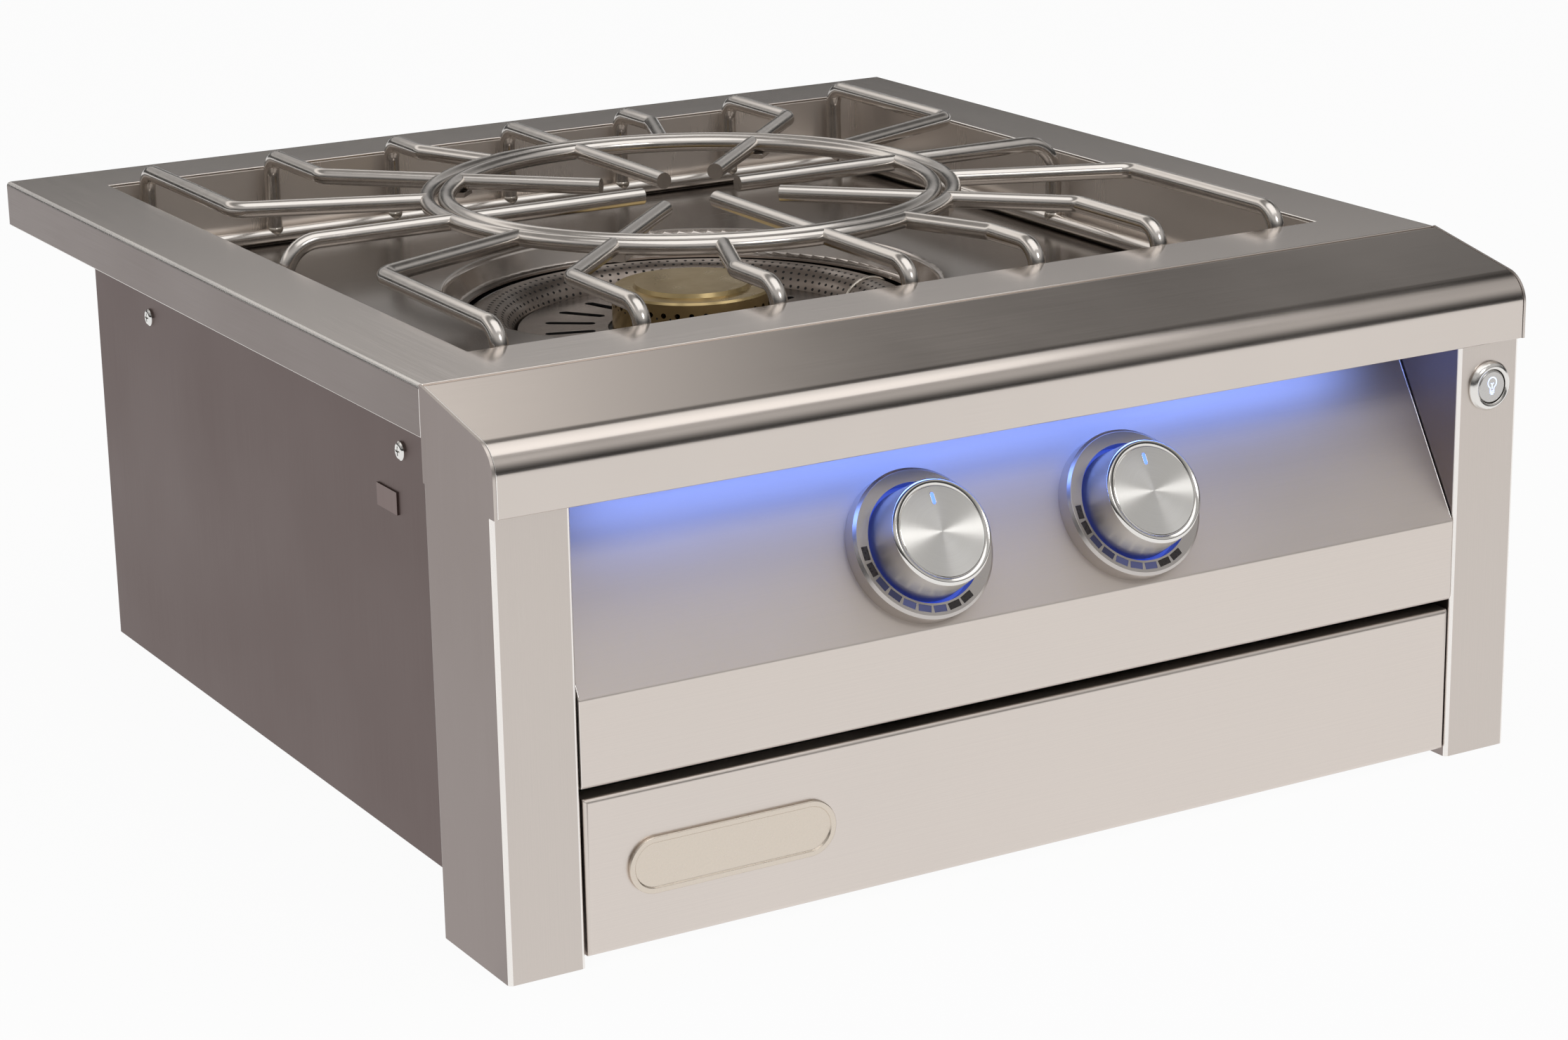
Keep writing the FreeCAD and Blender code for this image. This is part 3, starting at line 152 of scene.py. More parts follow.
class BurnerColours(bpy.types.PropertyGroup):
    """Colours of the finishes, in linear light."""

    stainless: FloatVectorProperty(name="Stainless", description="Brushed sheet", subtype="COLOR",
                                   default=(0.66, 0.60, 0.555))
    # The box's own duller sheet, darkened further to paint shade on the side panels.
    dull_and_shaded_side: FloatVectorProperty(name="Side steel", description="Duller sheet of the box",
                                    subtype="COLOR", default=(0.165, 0.122, 0.114))
    # A darker copy of the stainless that paints shade on the outer sides facing left and right.
    shaded_end_steel: FloatVectorProperty(name="End steel", description="Outer sides of the rim and the columns",
                                   subtype="COLOR", default=(0.32, 0.272, 0.256))
    rod: FloatVectorProperty(name="Rod", description="Polished rod", subtype="COLOR",
                             default=(0.70, 0.66, 0.62))
    brass: FloatVectorProperty(name="Brass", description="Burner head", subtype="COLOR",
                               default=(0.52, 0.40, 0.20))
    burner_steel: FloatVectorProperty(name="Burner steel", description="Heated steel", subtype="COLOR",
                                      default=(0.30, 0.262, 0.235))
    light: FloatVectorProperty(name="Light", description="Blue of the lights", subtype="COLOR",
                               default=(0.20, 0.33, 1.0))


class BurnerView(bpy.types.PropertyGroup):
    """Where the camera stands."""

    place: FloatVectorProperty(name="Place", description="Camera's place", subtype="TRANSLATION",
                               default=(-1.00451, -1.78425, 0.71409))
    azimuth: FloatProperty(name="Azimuth", description="Camera's angle round the object, degrees",
                           default=-30.262)
    elevation: FloatProperty(name="Elevation", description="Camera's angle above the horizon, degrees",
                             default=16.748)
    roll: FloatProperty(name="Roll", description="Camera's turn about its own axis, degrees",
                        default=-0.99)
    lens: FloatProperty(name="Lens", description="Focal length in millimetres", default=85.37)


# Materials

def shader(name, colour, metallic=1.0, roughness=0.4):
    """A material with its Principled shader set, and its node tree and shader node."""
    material = bpy.data.materials.new(name)
    material.use_nodes = True
    tree = material.node_tree
    bsdf = tree.nodes["Principled BSDF"]
    bsdf.inputs["Base Color"].default_value = (*colour, 1)
    bsdf.inputs["Metallic"].default_value = metallic
    bsdf.inputs["Roughness"].default_value = roughness
    return material, tree, bsdf


def add(tree, kind, **values):
    """A node with some inputs or settings given by name."""
    node = tree.nodes.new(kind)
    for key, value in values.items():
        if key in node.inputs:
            node.inputs[key].default_value = value
        else:
            setattr(node, key, value)
    return node


def wire(tree, *pairs):
    """Link outputs to inputs."""
    for source, target in pairs:
        tree.links.new(source, target)


def object_axes(tree):
    """Object coordinates split in X, Y and Z, and the distance from the plane X = 0."""
    place = add(tree, "ShaderNodeTexCoord")
    axes = add(tree, "ShaderNodeSeparateXYZ")
    aside = add(tree, "ShaderNodeMath", operation="ABSOLUTE")
    wire(tree, (place.outputs["Object"], axes.inputs[0]), (axes.outputs["X"], aside.inputs[0]))
    return axes.outputs, aside.outputs[0]


def object_noise(tree, stretch, detail, rough):
    """Noise on Object coordinates; stretch gives cycles per metre along each axis."""
    place = add(tree, "ShaderNodeTexCoord")
    mapping = add(tree, "ShaderNodeMapping", Scale=stretch)
    noise = add(tree, "ShaderNodeTexNoise", Scale=1.0, Detail=detail, Roughness=rough)
    wire(tree, (place.outputs["Object"], mapping.inputs["Vector"]),
         (mapping.outputs["Vector"], noise.inputs["Vector"]))
    return noise.outputs["Fac"]


def spread(tree, value, low, high, start=0.3, end=0.7):
    """Map a noise value onto a range."""
    node = add(tree, "ShaderNodeMapRange")
    for key, number in (("From Min", start), ("From Max", end), ("To Min", low), ("To Max", high)):
        node.inputs[key].default_value = number
    tree.links.new(value, node.inputs["Value"])
    return node.outputs["Result"]


def two_tone(tree, bsdf, value, first, second):
    """Base colour that runs from one colour to another with a value."""
    mix = add(tree, "ShaderNodeMix", data_type="RGBA")
    mix.inputs[6].default_value = (*first, 1)
    mix.inputs[7].default_value = (*second, 1)
    wire(tree, (value, mix.inputs["Factor"]), (mix.outputs[2], bsdf.inputs["Base Color"]))


def tinted(tree, bsdf, value, colour, low, high):
    """Base colour that varies with a noise value between two shares of the colour."""
    two_tone(tree, bsdf, value, [c * low for c in colour], [min(c * high, 1) for c in colour])


def bumped(tree, bsdf, value, strength, distance):
    """Surface raised by a value, up to a distance."""
    bump = add(tree, "ShaderNodeBump", Strength=strength, Distance=distance)
    wire(tree, (value, bump.inputs["Height"]), (bump.outputs["Normal"], bsdf.inputs["Normal"]))


def brushed(name, colour, along, roughness=0.36, streak=0.05, grain=0.05, metallic=1.0):
    """Brushed sheet: fine streaks along one axis, with faint clouds of handling over them."""
    material, tree, bsdf = shader(name, colour, metallic, roughness)
    stretch = [BRUSH_FINE] * 3
    stretch["XYZ".index(along)] = BRUSH_LONG
    streaks = object_noise(tree, stretch, 3.0, 0.6)
    clouds = object_noise(tree, (7.0, 7.0, 7.0), 3.0, 0.5)
    both = add(tree, "ShaderNodeMath", operation="ADD")
    wire(tree, (spread(tree, streaks, -streak, streak), both.inputs[0]),
         (spread(tree, clouds, roughness - 0.04, roughness + 0.04), both.inputs[1]),
         (both.outputs[0], bsdf.inputs["Roughness"]))
    tone = add(tree, "ShaderNodeMath", operation="ADD")
    wire(tree, (spread(tree, streaks, -6.0 * streak, 6.0 * streak), tone.inputs[0]),
         (spread(tree, clouds, 0.1, 0.9), tone.inputs[1]))
    tinted(tree, bsdf, tone.outputs[0], colour, 0.95, 1.04)
    bumped(tree, bsdf, streaks, grain, BRUSH_DEPTH)
    return material


def rim_steel(name, colour, roughness=0.17):
    """Rim sheet: brushed front to rear on the side rails, and across on the front and rear rails."""
    material, tree, bsdf = shader(name, colour, 1.0, roughness)
    along_y = object_noise(tree, (BRUSH_FINE, BRUSH_LONG, BRUSH_FINE), 3.0, 0.6)
    along_x = object_noise(tree, (BRUSH_LONG, BRUSH_FINE, BRUSH_FINE), 3.0, 0.6)
    _, aside = object_axes(tree)
    rail = add(tree, "ShaderNodeMath", operation="GREATER_THAN")
    rail.inputs[1].default_value = CAD_HIGH.x - RIM_RAIL
    mix = add(tree, "ShaderNodeMix", data_type="FLOAT")
    wire(tree, (aside, rail.inputs[0]), (rail.outputs[0], mix.inputs[0]), (along_x, mix.inputs[2]),
         (along_y, mix.inputs[3]))
    streaks = mix.outputs[0]
    tree.links.new(spread(tree, streaks, roughness - 0.03, roughness + 0.03), bsdf.inputs["Roughness"])
    tinted(tree, bsdf, streaks, colour, 0.965, 1.03)
    bumped(tree, bsdf, streaks, 0.03, BRUSH_DEPTH)
    return material


def polished(name, colour, roughness):
    """Polished metal, faintly mottled by heat and cleaning."""
    material, tree, bsdf = shader(name, colour, 1.0, roughness)
    mottle = object_noise(tree, (90.0, 90.0, 90.0), 4.0, 0.6)
    tree.links.new(spread(tree, mottle, roughness - 0.03, roughness + 0.05), bsdf.inputs["Roughness"])
    tinted(tree, bsdf, mottle, colour, 0.93, 1.03)
    bumped(tree, bsdf, mottle, 0.02, 0.0002)
    return material


def heated(name, colour, tint, roughness, grit=0.12):
    """Burner metal with patches of heat tint."""
    material, tree, bsdf = shader(name, colour, 1.0, roughness)
    patches = object_noise(tree, (28.0, 28.0, 28.0), 4.0, 0.6)
    two_tone(tree, bsdf, spread(tree, patches, 0.0, 1.0), colour, tint)
    tree.links.new(spread(tree, patches, roughness - 0.08, roughness + 0.10), bsdf.inputs["Roughness"])
    grain = object_noise(tree, (900.0, 900.0, 900.0), 2.0, 0.5)
    bumped(tree, bsdf, grain, grit, 0.0001)
    return material


def moulded(name, colour, roughness=0.5, grain=600.0, metallic=0.0):
    """Moulded plastic, coating or casting with a fine grain."""
    material, tree, bsdf = shader(name, colour, metallic, roughness)
    noise = object_noise(tree, (grain, grain, grain), 2.0, 0.5)
    tree.links.new(spread(tree, noise, roughness - 0.08, roughness + 0.08), bsdf.inputs["Roughness"])
    tinted(tree, bsdf, noise, colour, 0.88, 1.1)
    bumped(tree, bsdf, noise, 0.2, 0.0001)
    return material


def spangled(name, colour, roughness):
    """Zinc-coated sheet: flat crystals that differ a little in tone and gloss."""
    material, tree, bsdf = shader(name, colour, 1.0, roughness)
    place = add(tree, "ShaderNodeTexCoord")
    crystals = add(tree, "ShaderNodeTexVoronoi", Scale=120.0)
    chance = add(tree, "ShaderNodeSeparateColor")
    wire(tree, (place.outputs["Object"], crystals.inputs["Vector"]),
         (crystals.outputs["Color"], chance.inputs["Color"]))
    gloss = spread(tree, chance.outputs["Red"], roughness - 0.05, roughness + 0.05, 0.0, 1.0)
    tree.links.new(gloss, bsdf.inputs["Roughness"])
    tinted(tree, bsdf, chance.outputs["Green"], colour, 0.92, 1.07)
    return material


def turned_metal(name, colour, roughness, grooves, spun=0.75):
    """Turned metal: the grooves follow the piece's own UV map, round its axis."""
    material, tree, bsdf = shader(name, colour, 1.0, roughness)
    uv = add(tree, "ShaderNodeUVMap", uv_map="turning")
    mapping = add(tree, "ShaderNodeMapping", Scale=(2.0, 4200.0, 1.0))
    noise = add(tree, "ShaderNodeTexNoise", Scale=1.0, Detail=2.0)
    wire(tree, (uv.outputs["UV"], mapping.inputs["Vector"]),
         (mapping.outputs["Vector"], noise.inputs["Vector"]))
    lines = noise.outputs["Fac"]
    tree.links.new(spread(tree, lines, roughness - 0.05, roughness + 0.05), bsdf.inputs["Roughness"])
    tinted(tree, bsdf, lines, colour, 0.92, 1.06)
    bumped(tree, bsdf, lines, grooves, 0.00005)
    bsdf.inputs["Anisotropic"].default_value = spun
    bsdf.inputs["Anisotropic Rotation"].default_value = 0.25
    tangent = add(tree, "ShaderNodeTangent", direction_type="UV_MAP", uv_map="turning")
    tree.links.new(tangent.outputs["Tangent"], bsdf.inputs["Tangent"])
    return material


def lit(name, colour, strength, body=(0.3, 0.45, 0.9)):
    """Translucent plastic lit from behind, a little uneven."""
    material, tree, bsdf = shader(name, body, 0.0, 0.35)
    bsdf.inputs["Emission Color"].default_value = (*colour, 1)
    uneven = object_noise(tree, (60.0, 60.0, 60.0), 2.0, 0.5)
    glow = spread(tree, uneven, strength * 0.85, strength * 1.15)
    tree.links.new(glow, bsdf.inputs["Emission Strength"])
    return material


def strip_light(name, colour, strength, reach, front):
    """Light strip lens: its lamps sit along its rear edge and stop short of its ends."""
    material, tree, bsdf = shader(name, (0.12, 0.16, 0.30), 0.0, 0.35)
    bsdf.inputs["Emission Color"].default_value = (*colour, 1)
    axes, aside = object_axes(tree)
    both = add(tree, "ShaderNodeMath", operation="MULTIPLY")
    wire(tree, (spread(tree, aside, strength, 0.0, reach - STRIP_FADE, reach), both.inputs[0]),
         (spread(tree, axes["Y"], 0.0, 1.0, front, front + 3 * MM), both.inputs[1]),
         (both.outputs[0], bsdf.inputs["Emission Strength"]))
    return material


FINISHES = {}


def finish(name):
    """The named finish, made once from the colours in the scene's properties."""
    if name in FINISHES:
        return FINISHES[name]
    colours = bpy.context.scene.burner_colours
    steel = tuple(colours.stainless)
    pale_steel = tuple(c * 1.13 for c in steel)
    shaded_rim_side = tuple(c * 0.78 for c in colours.shaded_end_steel)
    tab_reflection_steel = tuple(c * 1.3 for c in colours.dull_and_shaded_side)
    burner_steel = tuple(colours.burner_steel)
    makers = {
        "front_sheet": (brushed, "stainless front, brushed across", pale_steel, "X"),
        "panel_sheet": (brushed, "control panel, brushed across", pale_steel, "X", 0.58),
        "brushed_z": (brushed, "stainless, brushed upright", steel, "Z"),
        "rim": (rim_steel, "stainless rim, brushed along each rail", steel),
        # Darker copies of the stainless paint shade on the outer sides of the rim, fascia and columns.
        "shaded_end_steel": (brushed, "stainless ends", tuple(colours.shaded_end_steel), "Z", 0.40, 0.04),
        "shaded_rim_end": (brushed, "stainless rim sides", shaded_rim_side, "Y", 0.38, 0.04),
        # A bright copy of the stainless paints a highlight on rounded edges.
        "painted_edge_highlight": (brushed, "stainless, bright at the edges", (0.92, 0.885, 0.85), "Z", 0.26, 0.04),
        "fascia": (brushed, "stainless fascia, brushed across", steel, "X", 0.18, 0.03),
        # The side panels' duller sheet, darkened further for painted shade.
        "dull_and_shaded_side": (brushed, "duller box sheet", tuple(colours.dull_and_shaded_side), "Z", 0.46, 0.03),
        # A lighter copy of the side sheet paints the reflection in the tilted tab.
        "painted_tab_reflection": (brushed, "tab sheet", tab_reflection_steel, "Z", 0.40, 0.03),
        "firebox": (brushed, "firebox sheet", (0.80, 0.73, 0.67), "Z", 0.28, 0.004, 0.0, 0.66),
        # The pan's floor is a darker copy for painted shade in the firebox, its dish walls a lighter copy for a
        # painted reflection.
        "pan": (brushed, "burner pan sheet", (0.29, 0.26, 0.238), "X", 0.21, 0.03, 0.0),
        "drawn_dish": (polished, "drawn dish", (0.60, 0.55, 0.51), 0.18),
        "galvanised": (spangled, "zinc-coated sheet", (0.43, 0.43, 0.43), 0.40),
        "rod": (polished, "polished rod", tuple(colours.rod), 0.20),
        "weld": (polished, "weld bead", (0.60, 0.55, 0.49), 0.22),
        "brass": (heated, "brass", tuple(colours.brass), (0.40, 0.30, 0.15), 0.30, 0.03),
        "burner_steel": (heated, "ring burner steel", burner_steel, (0.20, 0.165, 0.14), 0.30),
        "air_plate": (heated, "air plate", (0.36, 0.32, 0.29), (0.28, 0.24, 0.215), 0.20),
        # Near-black finish that paints the shade inside ports and slots.
        "painted_hole_shade": (moulded, "inside of a port", (0.006, 0.005, 0.005), 0.8, 900.0),
        "satin": (turned_metal, "turned satin metal", (0.70, 0.67, 0.635), 0.33, 0.10),
        "sunburst": (turned_metal, "spun face", (0.96, 0.935, 0.90), 0.36, 0.03, 0.97),
        "bezel": (brushed, "bezel", (0.56, 0.525, 0.50), "X", 0.27, 0.0, 0.0),
        "bright_edge": (polished, "polished edge", (0.80, 0.78, 0.75), 0.10),
        "satin_plate": (moulded, "satin cast plate", (0.74, 0.66, 0.57), 0.34, 500.0, 1.0),
        "button_face": (moulded, "button face", (0.60, 0.585, 0.57), 0.30, 700.0, 1.0),
        "chrome": (polished, "chrome", (0.78, 0.77, 0.75), 0.08),
        "switch_ring": (polished, "switch ring", (0.82, 0.80, 0.77), 0.20),
        "light_strip": (strip_light, "light strip lens", tuple(colours.light), 6.0, STRIP_REACH,
                        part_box("led_lens")[1].y - STRIP_DEPTH),
        "light_ring": (lit, "light ring", (0.035, 0.10, 1.0), 0.38),
        "window_dark": (moulded, "dial window, unlit", (0.035, 0.028, 0.027), 0.3),
        "window_dim": (lit, "dial window, dim", (0.10, 0.14, 0.65), 0.06, (0.04, 0.04, 0.06)),
        "window_lit": (lit, "dial window, lit", (0.20, 0.24, 0.66), 0.19, (0.06, 0.06, 0.09)),
        "light_pointer": (lit, "pointer", (0.08, 0.2, 1.0), 1.6),
        "light_symbol": (lit, "lit symbol", (0.55, 0.65, 1.0), 1.5),
        "black_plastic": (moulded, "black plastic", (0.02, 0.02, 0.02), 0.5),
        "cast_iron": (moulded, "cast iron", (0.05, 0.048, 0.045), 0.6, 400.0, 0.6),
        "black_pipe": (moulded, "black pipe", (0.03, 0.03, 0.03), 0.45, 300.0),
        "aluminium": (polished, "drawn aluminium", (0.7, 0.7, 0.7), 0.3),
        "ceramic": (moulded, "white ceramic", (0.8, 0.78, 0.72), 0.25),
        "silicone": (moulded, "silicone sleeve", (0.10, 0.10, 0.10), 0.6),
    }
    maker, *values = makers[name]
    FINISHES[name] = maker(*values)
    return FINISHES[name]


# Pieces

def settle(obj, material, *nodes):
    """Give a piece its finish and its body, and let it stand for CAD nodes."""
    if not len(obj.data.vertices):
        raise RuntimeError(f"{obj.name} came out empty")
    if material is not None:
        obj.data.materials.clear()
        obj.data.materials.append(finish(material))
    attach(obj, BODY_OF[nodes[0]])
    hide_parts(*nodes)
    return obj


def mesh_of(bm, name):
    """The finished bmesh as a named mesh."""
    mesh = bpy.data.meshes.new(name)
    bm.to_mesh(mesh)
    bm.free()
    return mesh


def link(name, mesh):
    """A new object of a mesh, in the scene."""
    obj = bpy.data.objects.new(name, mesh)
    bpy.context.scene.collection.objects.link(obj)
    return obj


def baked(obj, name):
    """The evaluated shape of an object as a plain mesh piece; the object itself is removed."""
    bpy.context.view_layer.update()
    depsgraph = bpy.context.evaluated_depsgraph_get()
    mesh = bpy.data.meshes.new_from_object(obj.evaluated_get(depsgraph))
    mesh.name = name
    bpy.data.objects.remove(obj)
    return link(name, mesh)


def soften(obj, name, width):
    """Round the sharp edges of a mesh and shade it smooth."""
    bevel = obj.modifiers.new("edge", "BEVEL")
    bevel.width = width
    bevel.segments = EDGE_SEGMENTS
    bevel.limit_method = "ANGLE"
    bevel.angle_limit = SHARP_ANGLE
    weigh = obj.modifiers.new("shading", "WEIGHTED_NORMAL")
    weigh.mode = "FACE_AREA"
    weigh.weight = 100
    weigh.keep_sharp = True
    obj.data.shade_smooth()
    obj.data.set_sharp_from_angle(angle=SHARP_ANGLE)
    return baked(obj, name)


def node_copy(node, name):
    """A CAD node's mesh with its doubles merged and its flat faces joined up."""
    bm = bmesh.new()
    bm.from_mesh(NODES[node].data)
    bmesh.ops.remove_doubles(bm, verts=bm.verts, dist=MERGE_GAP)
    bmesh.ops.dissolve_limit(bm, angle_limit=FLAT_ANGLE, verts=bm.verts, edges=bm.edges,
                             delimit={"NORMAL"})
    return link(name, mesh_of(bm, name))


def dressed(node, material, width=None, ends=None):
    """A finished copy of a CAD node with softened edges; ends is the finish of its outer sides, mostly a darker
    copy that paints shade there, and the rounded edges beside them get a painted highlight.
    """
    width = width or bpy.context.scene.burner_sizes.edge
    piece = soften(node_copy(node, node + "_raw"), node + "_piece", width)
    settle(piece, material, node)
    if ends:
        piece.data.materials.append(finish(ends))
        piece.data.materials.append(finish("painted_edge_highlight"))
        # Faces turned along X take the ends finish, mostly a darker copy for painted shade; the rounded edges
        # beside them take a painted highlight.
        for polygon in piece.data.polygons:
            lean = abs(polygon.normal.x)
            if lean > FACING:
                polygon.material_index = 1
            elif lean > TURNED_AWAY:
                polygon.material_index = 2
    return piece


def painted(node, material):
    """A CAD node shown as it is, in its material."""
    mesh = NODES[node].data
    mesh.materials.clear()
    mesh.materials.append(finish(material))


def lathe(name, profile, place, steps=128):
    """Turned piece from (radius, height) points, with a UV map that runs round its axis."""
    bm = bmesh.new()
    layer = bm.loops.layers.uv.new("turning")
    lengths = [0.0]
    for (r0, z0), (r1, z1) in zip(profile, profile[1:]):
        lengths.append(lengths[-1] + math.hypot(r1 - r0, z1 - z0))
    rings = []
    for radius, height in profile:
        if radius < 1e-9:
            rings.append([bm.verts.new(place @ Vector((0, 0, height)))] * steps)
            continue
        ring = []
        for step in range(steps):
            angle = 2 * math.pi * step / steps
            spot = Vector((radius * math.cos(angle), radius * math.sin(angle), height))
            ring.append(bm.verts.new(place @ spot))
        rings.append(ring)
    for row in range(len(rings) - 1):
        for step in range(steps):
            after = (step + 1) % steps
            corners = [(rings[row][step], step, row), (rings[row][after], step + 1, row),
                       (rings[row + 1][after], step + 1, row + 1), (rings[row + 1][step], step, row + 1)]
            unique = []
            for corner in corners:
                if corner[0] not in [other[0] for other in unique]:
                    unique.append(corner)
            if len(unique) < 3:
                continue
            face = bm.faces.new([corner[0] for corner in unique])
            for loop, (_, turn, along) in zip(face.loops, unique):
                loop[layer].uv = (turn / steps, lengths[along])
    bmesh.ops.recalc_face_normals(bm, faces=bm.faces)
    mesh = mesh_of(bm, name)
    mesh.shade_smooth()
    mesh.set_sharp_from_angle(angle=math.radians(28))
    return link(name, mesh)


def rounded_path(points, radii, per_bend=10):
    """Points along straight runs with tangent arcs at the inner corners."""
    path = [points[0]]
    for before, corner, after, radius in zip(points, points[1:], points[2:], radii):
        arriving = (corner - before).normalized()
        leaving = (after - corner).normalized()
        half = arriving.angle(leaving) / 2
        if radius <= 0 or half < 1e-5:
            path.append(corner)
            continue
        reach = radius * math.tan(half)
        inward = (leaving - arriving).normalized()
        centre = corner + inward * (radius / math.cos(half))
        first = corner - arriving * reach - centre
        axis = arriving.cross(leaving).normalized()
        for step in range(per_bend + 1):
            path.append(centre + Matrix.Rotation(2 * half * step / per_bend, 3, axis) @ first)
    path.append(points[-1])
    return path


# Geometry Nodes

def new_tree(name, sockets):
    """A Geometry Nodes tree with a geometry input and output and the given named inputs."""
    tree = bpy.data.node_groups.new(name, "GeometryNodeTree")
    tree.interface.new_socket("Geometry", in_out="INPUT", socket_type="NodeSocketGeometry")
    for label, kind in sockets:
        tree.interface.new_socket(label, in_out="INPUT", socket_type=kind)
    tree.interface.new_socket("Geometry", in_out="OUTPUT", socket_type="NodeSocketGeometry")
    return tree, tree.nodes.new("NodeGroupInput"), tree.nodes.new("NodeGroupOutput")


def close_tree(tree, source, entry, leave):
    """End a tree with Realize Instances and Set Material."""
    realize = tree.nodes.new("GeometryNodeRealizeInstances")
    paint = tree.nodes.new("GeometryNodeSetMaterial")
    wire(tree, (source, realize.inputs["Geometry"]),
         (realize.outputs["Geometry"], paint.inputs["Geometry"]),
         (entry.outputs["Material"], paint.inputs["Material"]),
         (paint.outputs["Geometry"], leave.inputs["Geometry"]))
    return tree


def rod_tree():
    """Round rods along the edges of a mesh, with closed ends."""
    if "Rods along edges" in bpy.data.node_groups:
        return bpy.data.node_groups["Rods along edges"]
    tree, entry, leave = new_tree("Rods along edges", [
        ("Radius", "NodeSocketFloat"), ("Sides", "NodeSocketInt"), ("Material", "NodeSocketMaterial")])
    curve = tree.nodes.new("GeometryNodeMeshToCurve")
    circle = tree.nodes.new("GeometryNodeCurvePrimitiveCircle")
    sweep = tree.nodes.new("GeometryNodeCurveToMesh")
    sweep.inputs["Fill Caps"].default_value = True
    wire(tree, (entry.outputs["Geometry"], curve.inputs["Mesh"]),
         (entry.outputs["Sides"], circle.inputs["Resolution"]),
         (entry.outputs["Radius"], circle.inputs["Radius"]),
         (curve.outputs["Curve"], sweep.inputs["Curve"]),
         (circle.outputs["Curve"], sweep.inputs["Profile Curve"]))
    return close_tree(tree, sweep.outputs["Mesh"], entry, leave)


def mark_tree():
    """Copies of a small piece at marked points, each turned to face along the point's own direction."""
    if "Pieces at marks" in bpy.data.node_groups:
        return bpy.data.node_groups["Pieces at marks"]
    tree, entry, leave = new_tree("Pieces at marks", [
        ("Piece", "NodeSocketObject"), ("Size", "NodeSocketFloat"), ("Material", "NodeSocketMaterial")])
    info = tree.nodes.new("GeometryNodeObjectInfo")
    facing = tree.nodes.new("GeometryNodeInputNamedAttribute")
    facing.data_type = "FLOAT_VECTOR"
    facing.inputs["Name"].default_value = "facing"
    turn = tree.nodes.new("FunctionNodeAlignRotationToVector")
    turn.axis = "Z"
    put = tree.nodes.new("GeometryNodeInstanceOnPoints")
    wire(tree, (entry.outputs["Piece"], info.inputs["Object"]),
         (entry.outputs["Geometry"], put.inputs["Points"]),
         (info.outputs["Geometry"], put.inputs["Instance"]),
         (facing.outputs["Attribute"], turn.inputs["Vector"]),
         (turn.outputs["Rotation"], put.inputs["Rotation"]),
         (entry.outputs["Size"], put.inputs["Scale"]))
    return close_tree(tree, put.outputs["Instances"], entry, leave)


def run_tree(carrier, tree, name, values):
    """Run a tree on a carrier mesh with its inputs set by name, and keep the result as a plain mesh."""
    modifier = carrier.modifiers.new("nodes", "NODES")
    modifier.node_group = tree
    for item in tree.interface.items_tree:
        if item.item_type == "SOCKET" and item.in_out == "INPUT" and item.name in values:
            modifier[item.identifier] = values[item.name]
    piece = baked(carrier, name)
    piece.data.shade_smooth()
    piece.data.set_sharp_from_angle(angle=math.radians(50))
    return piece


def rods(name, paths, radius, material):
    """Rods along open or closed runs of points; a closed run ends where it starts."""
    bm = bmesh.new()
    for path in paths:
        closed = (path[0] - path[-1]).length < 1e-9
        verts = [bm.verts.new(point) for point in (path[:-1] if closed else path)]
        for first, second in zip(verts, verts[1:] + (verts[:1] if closed else [])):
            bm.edges.new((first, second))
    sides = bpy.context.scene.burner_sizes.rod_sides
    values = {"Radius": radius, "Sides": sides, "Material": finish(material)}
    return run_tree(link(name + "_path", mesh_of(bm, name)), rod_tree(), name, values)


def marks(name, spots, shape, size, material):
    """Small pieces at (point, direction) spots."""
    mesh = bpy.data.meshes.new(name)
    mesh.from_pydata([tuple(point) for point, _ in spots], [], [])
    facing = mesh.attributes.new("facing", "FLOAT_VECTOR", "POINT")
    facing.data.foreach_set("vector", [number for _, way in spots for number in way])
    values = {"Piece": shape, "Size": size, "Material": finish(material)}
    piece = run_tree(link(name + "_marks", mesh), mark_tree(), name, values)
    bpy.data.objects.remove(shape)
    return piece


def disc_shape(sides=12):
    """Unit disc that lies on the surface round a mark; in a near-black finish it paints the shade of a port."""
    profile = [(0, 0.06), (0.7, 0.06), (1.0, 0.05), (1.0, -0.2)]
    return lathe("disc_shape", profile, Matrix.Identity(4), sides)


def bead_shape():
    """Unit weld bead."""
    profile = [(math.sin(t) * 1.0, -math.cos(t) * 0.8) for t in [i * math.pi / 8 for i in range(9)]]
    profile[0] = (0, -0.8)
    profile[-1] = (0, 0.8)
    return lathe("bead_shape", profile, Matrix.Identity(4), 14)


# Shared places, read from the frame

def outward(angle):
    """Level direction at an angle round the upright axis."""
    return Vector((math.cos(angle), math.sin(angle), 0))


def ring_path(centre, radius):
    """Closed run of points round an upright axis."""
    turns = [2 * math.pi * step / RING_STEPS for step in range(RING_STEPS)]
    circle = [centre + outward(turn) * radius for turn in turns]
    return circle + [circle[0].copy()]


def grate_places():
    """Centre, rod height and reaches of the grate, from the frame's boxes."""
    ring_low, ring_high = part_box("wok_ring")
    spoke_low, spoke_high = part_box("grate_spokes")
    frame_low, frame_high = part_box("grate_frame")
    centre = (ring_low + ring_high) / 2
    rod = (frame_high.z - frame_low.z) / 2
    return centre, rod, spoke_low, spoke_high, (frame_low.z + frame_high.z) / 2


def knob_place(side):
    """Axes of a knob: its turning axis is Z, and Y runs up the slope."""
    joint = JOINTS[f"knob_{side}_turn"]
    axis = Vector(joint["axis"]).normalized()
    across = Vector((1, 0, 0))
    up = axis.cross(across)
    matrix = Matrix((across, up, axis)).transposed().to_4x4()
    return Matrix.Translation(Vector(joint["pos_m"])) @ matrix


# Operators, one for each piece or group of like pieces

class Dress:
    """What the dressing operators share."""

    bl_options = {"REGISTER"}

    def execute(self, context):
        self.dress(context.scene.burner_sizes)
        return {"FINISHED"}


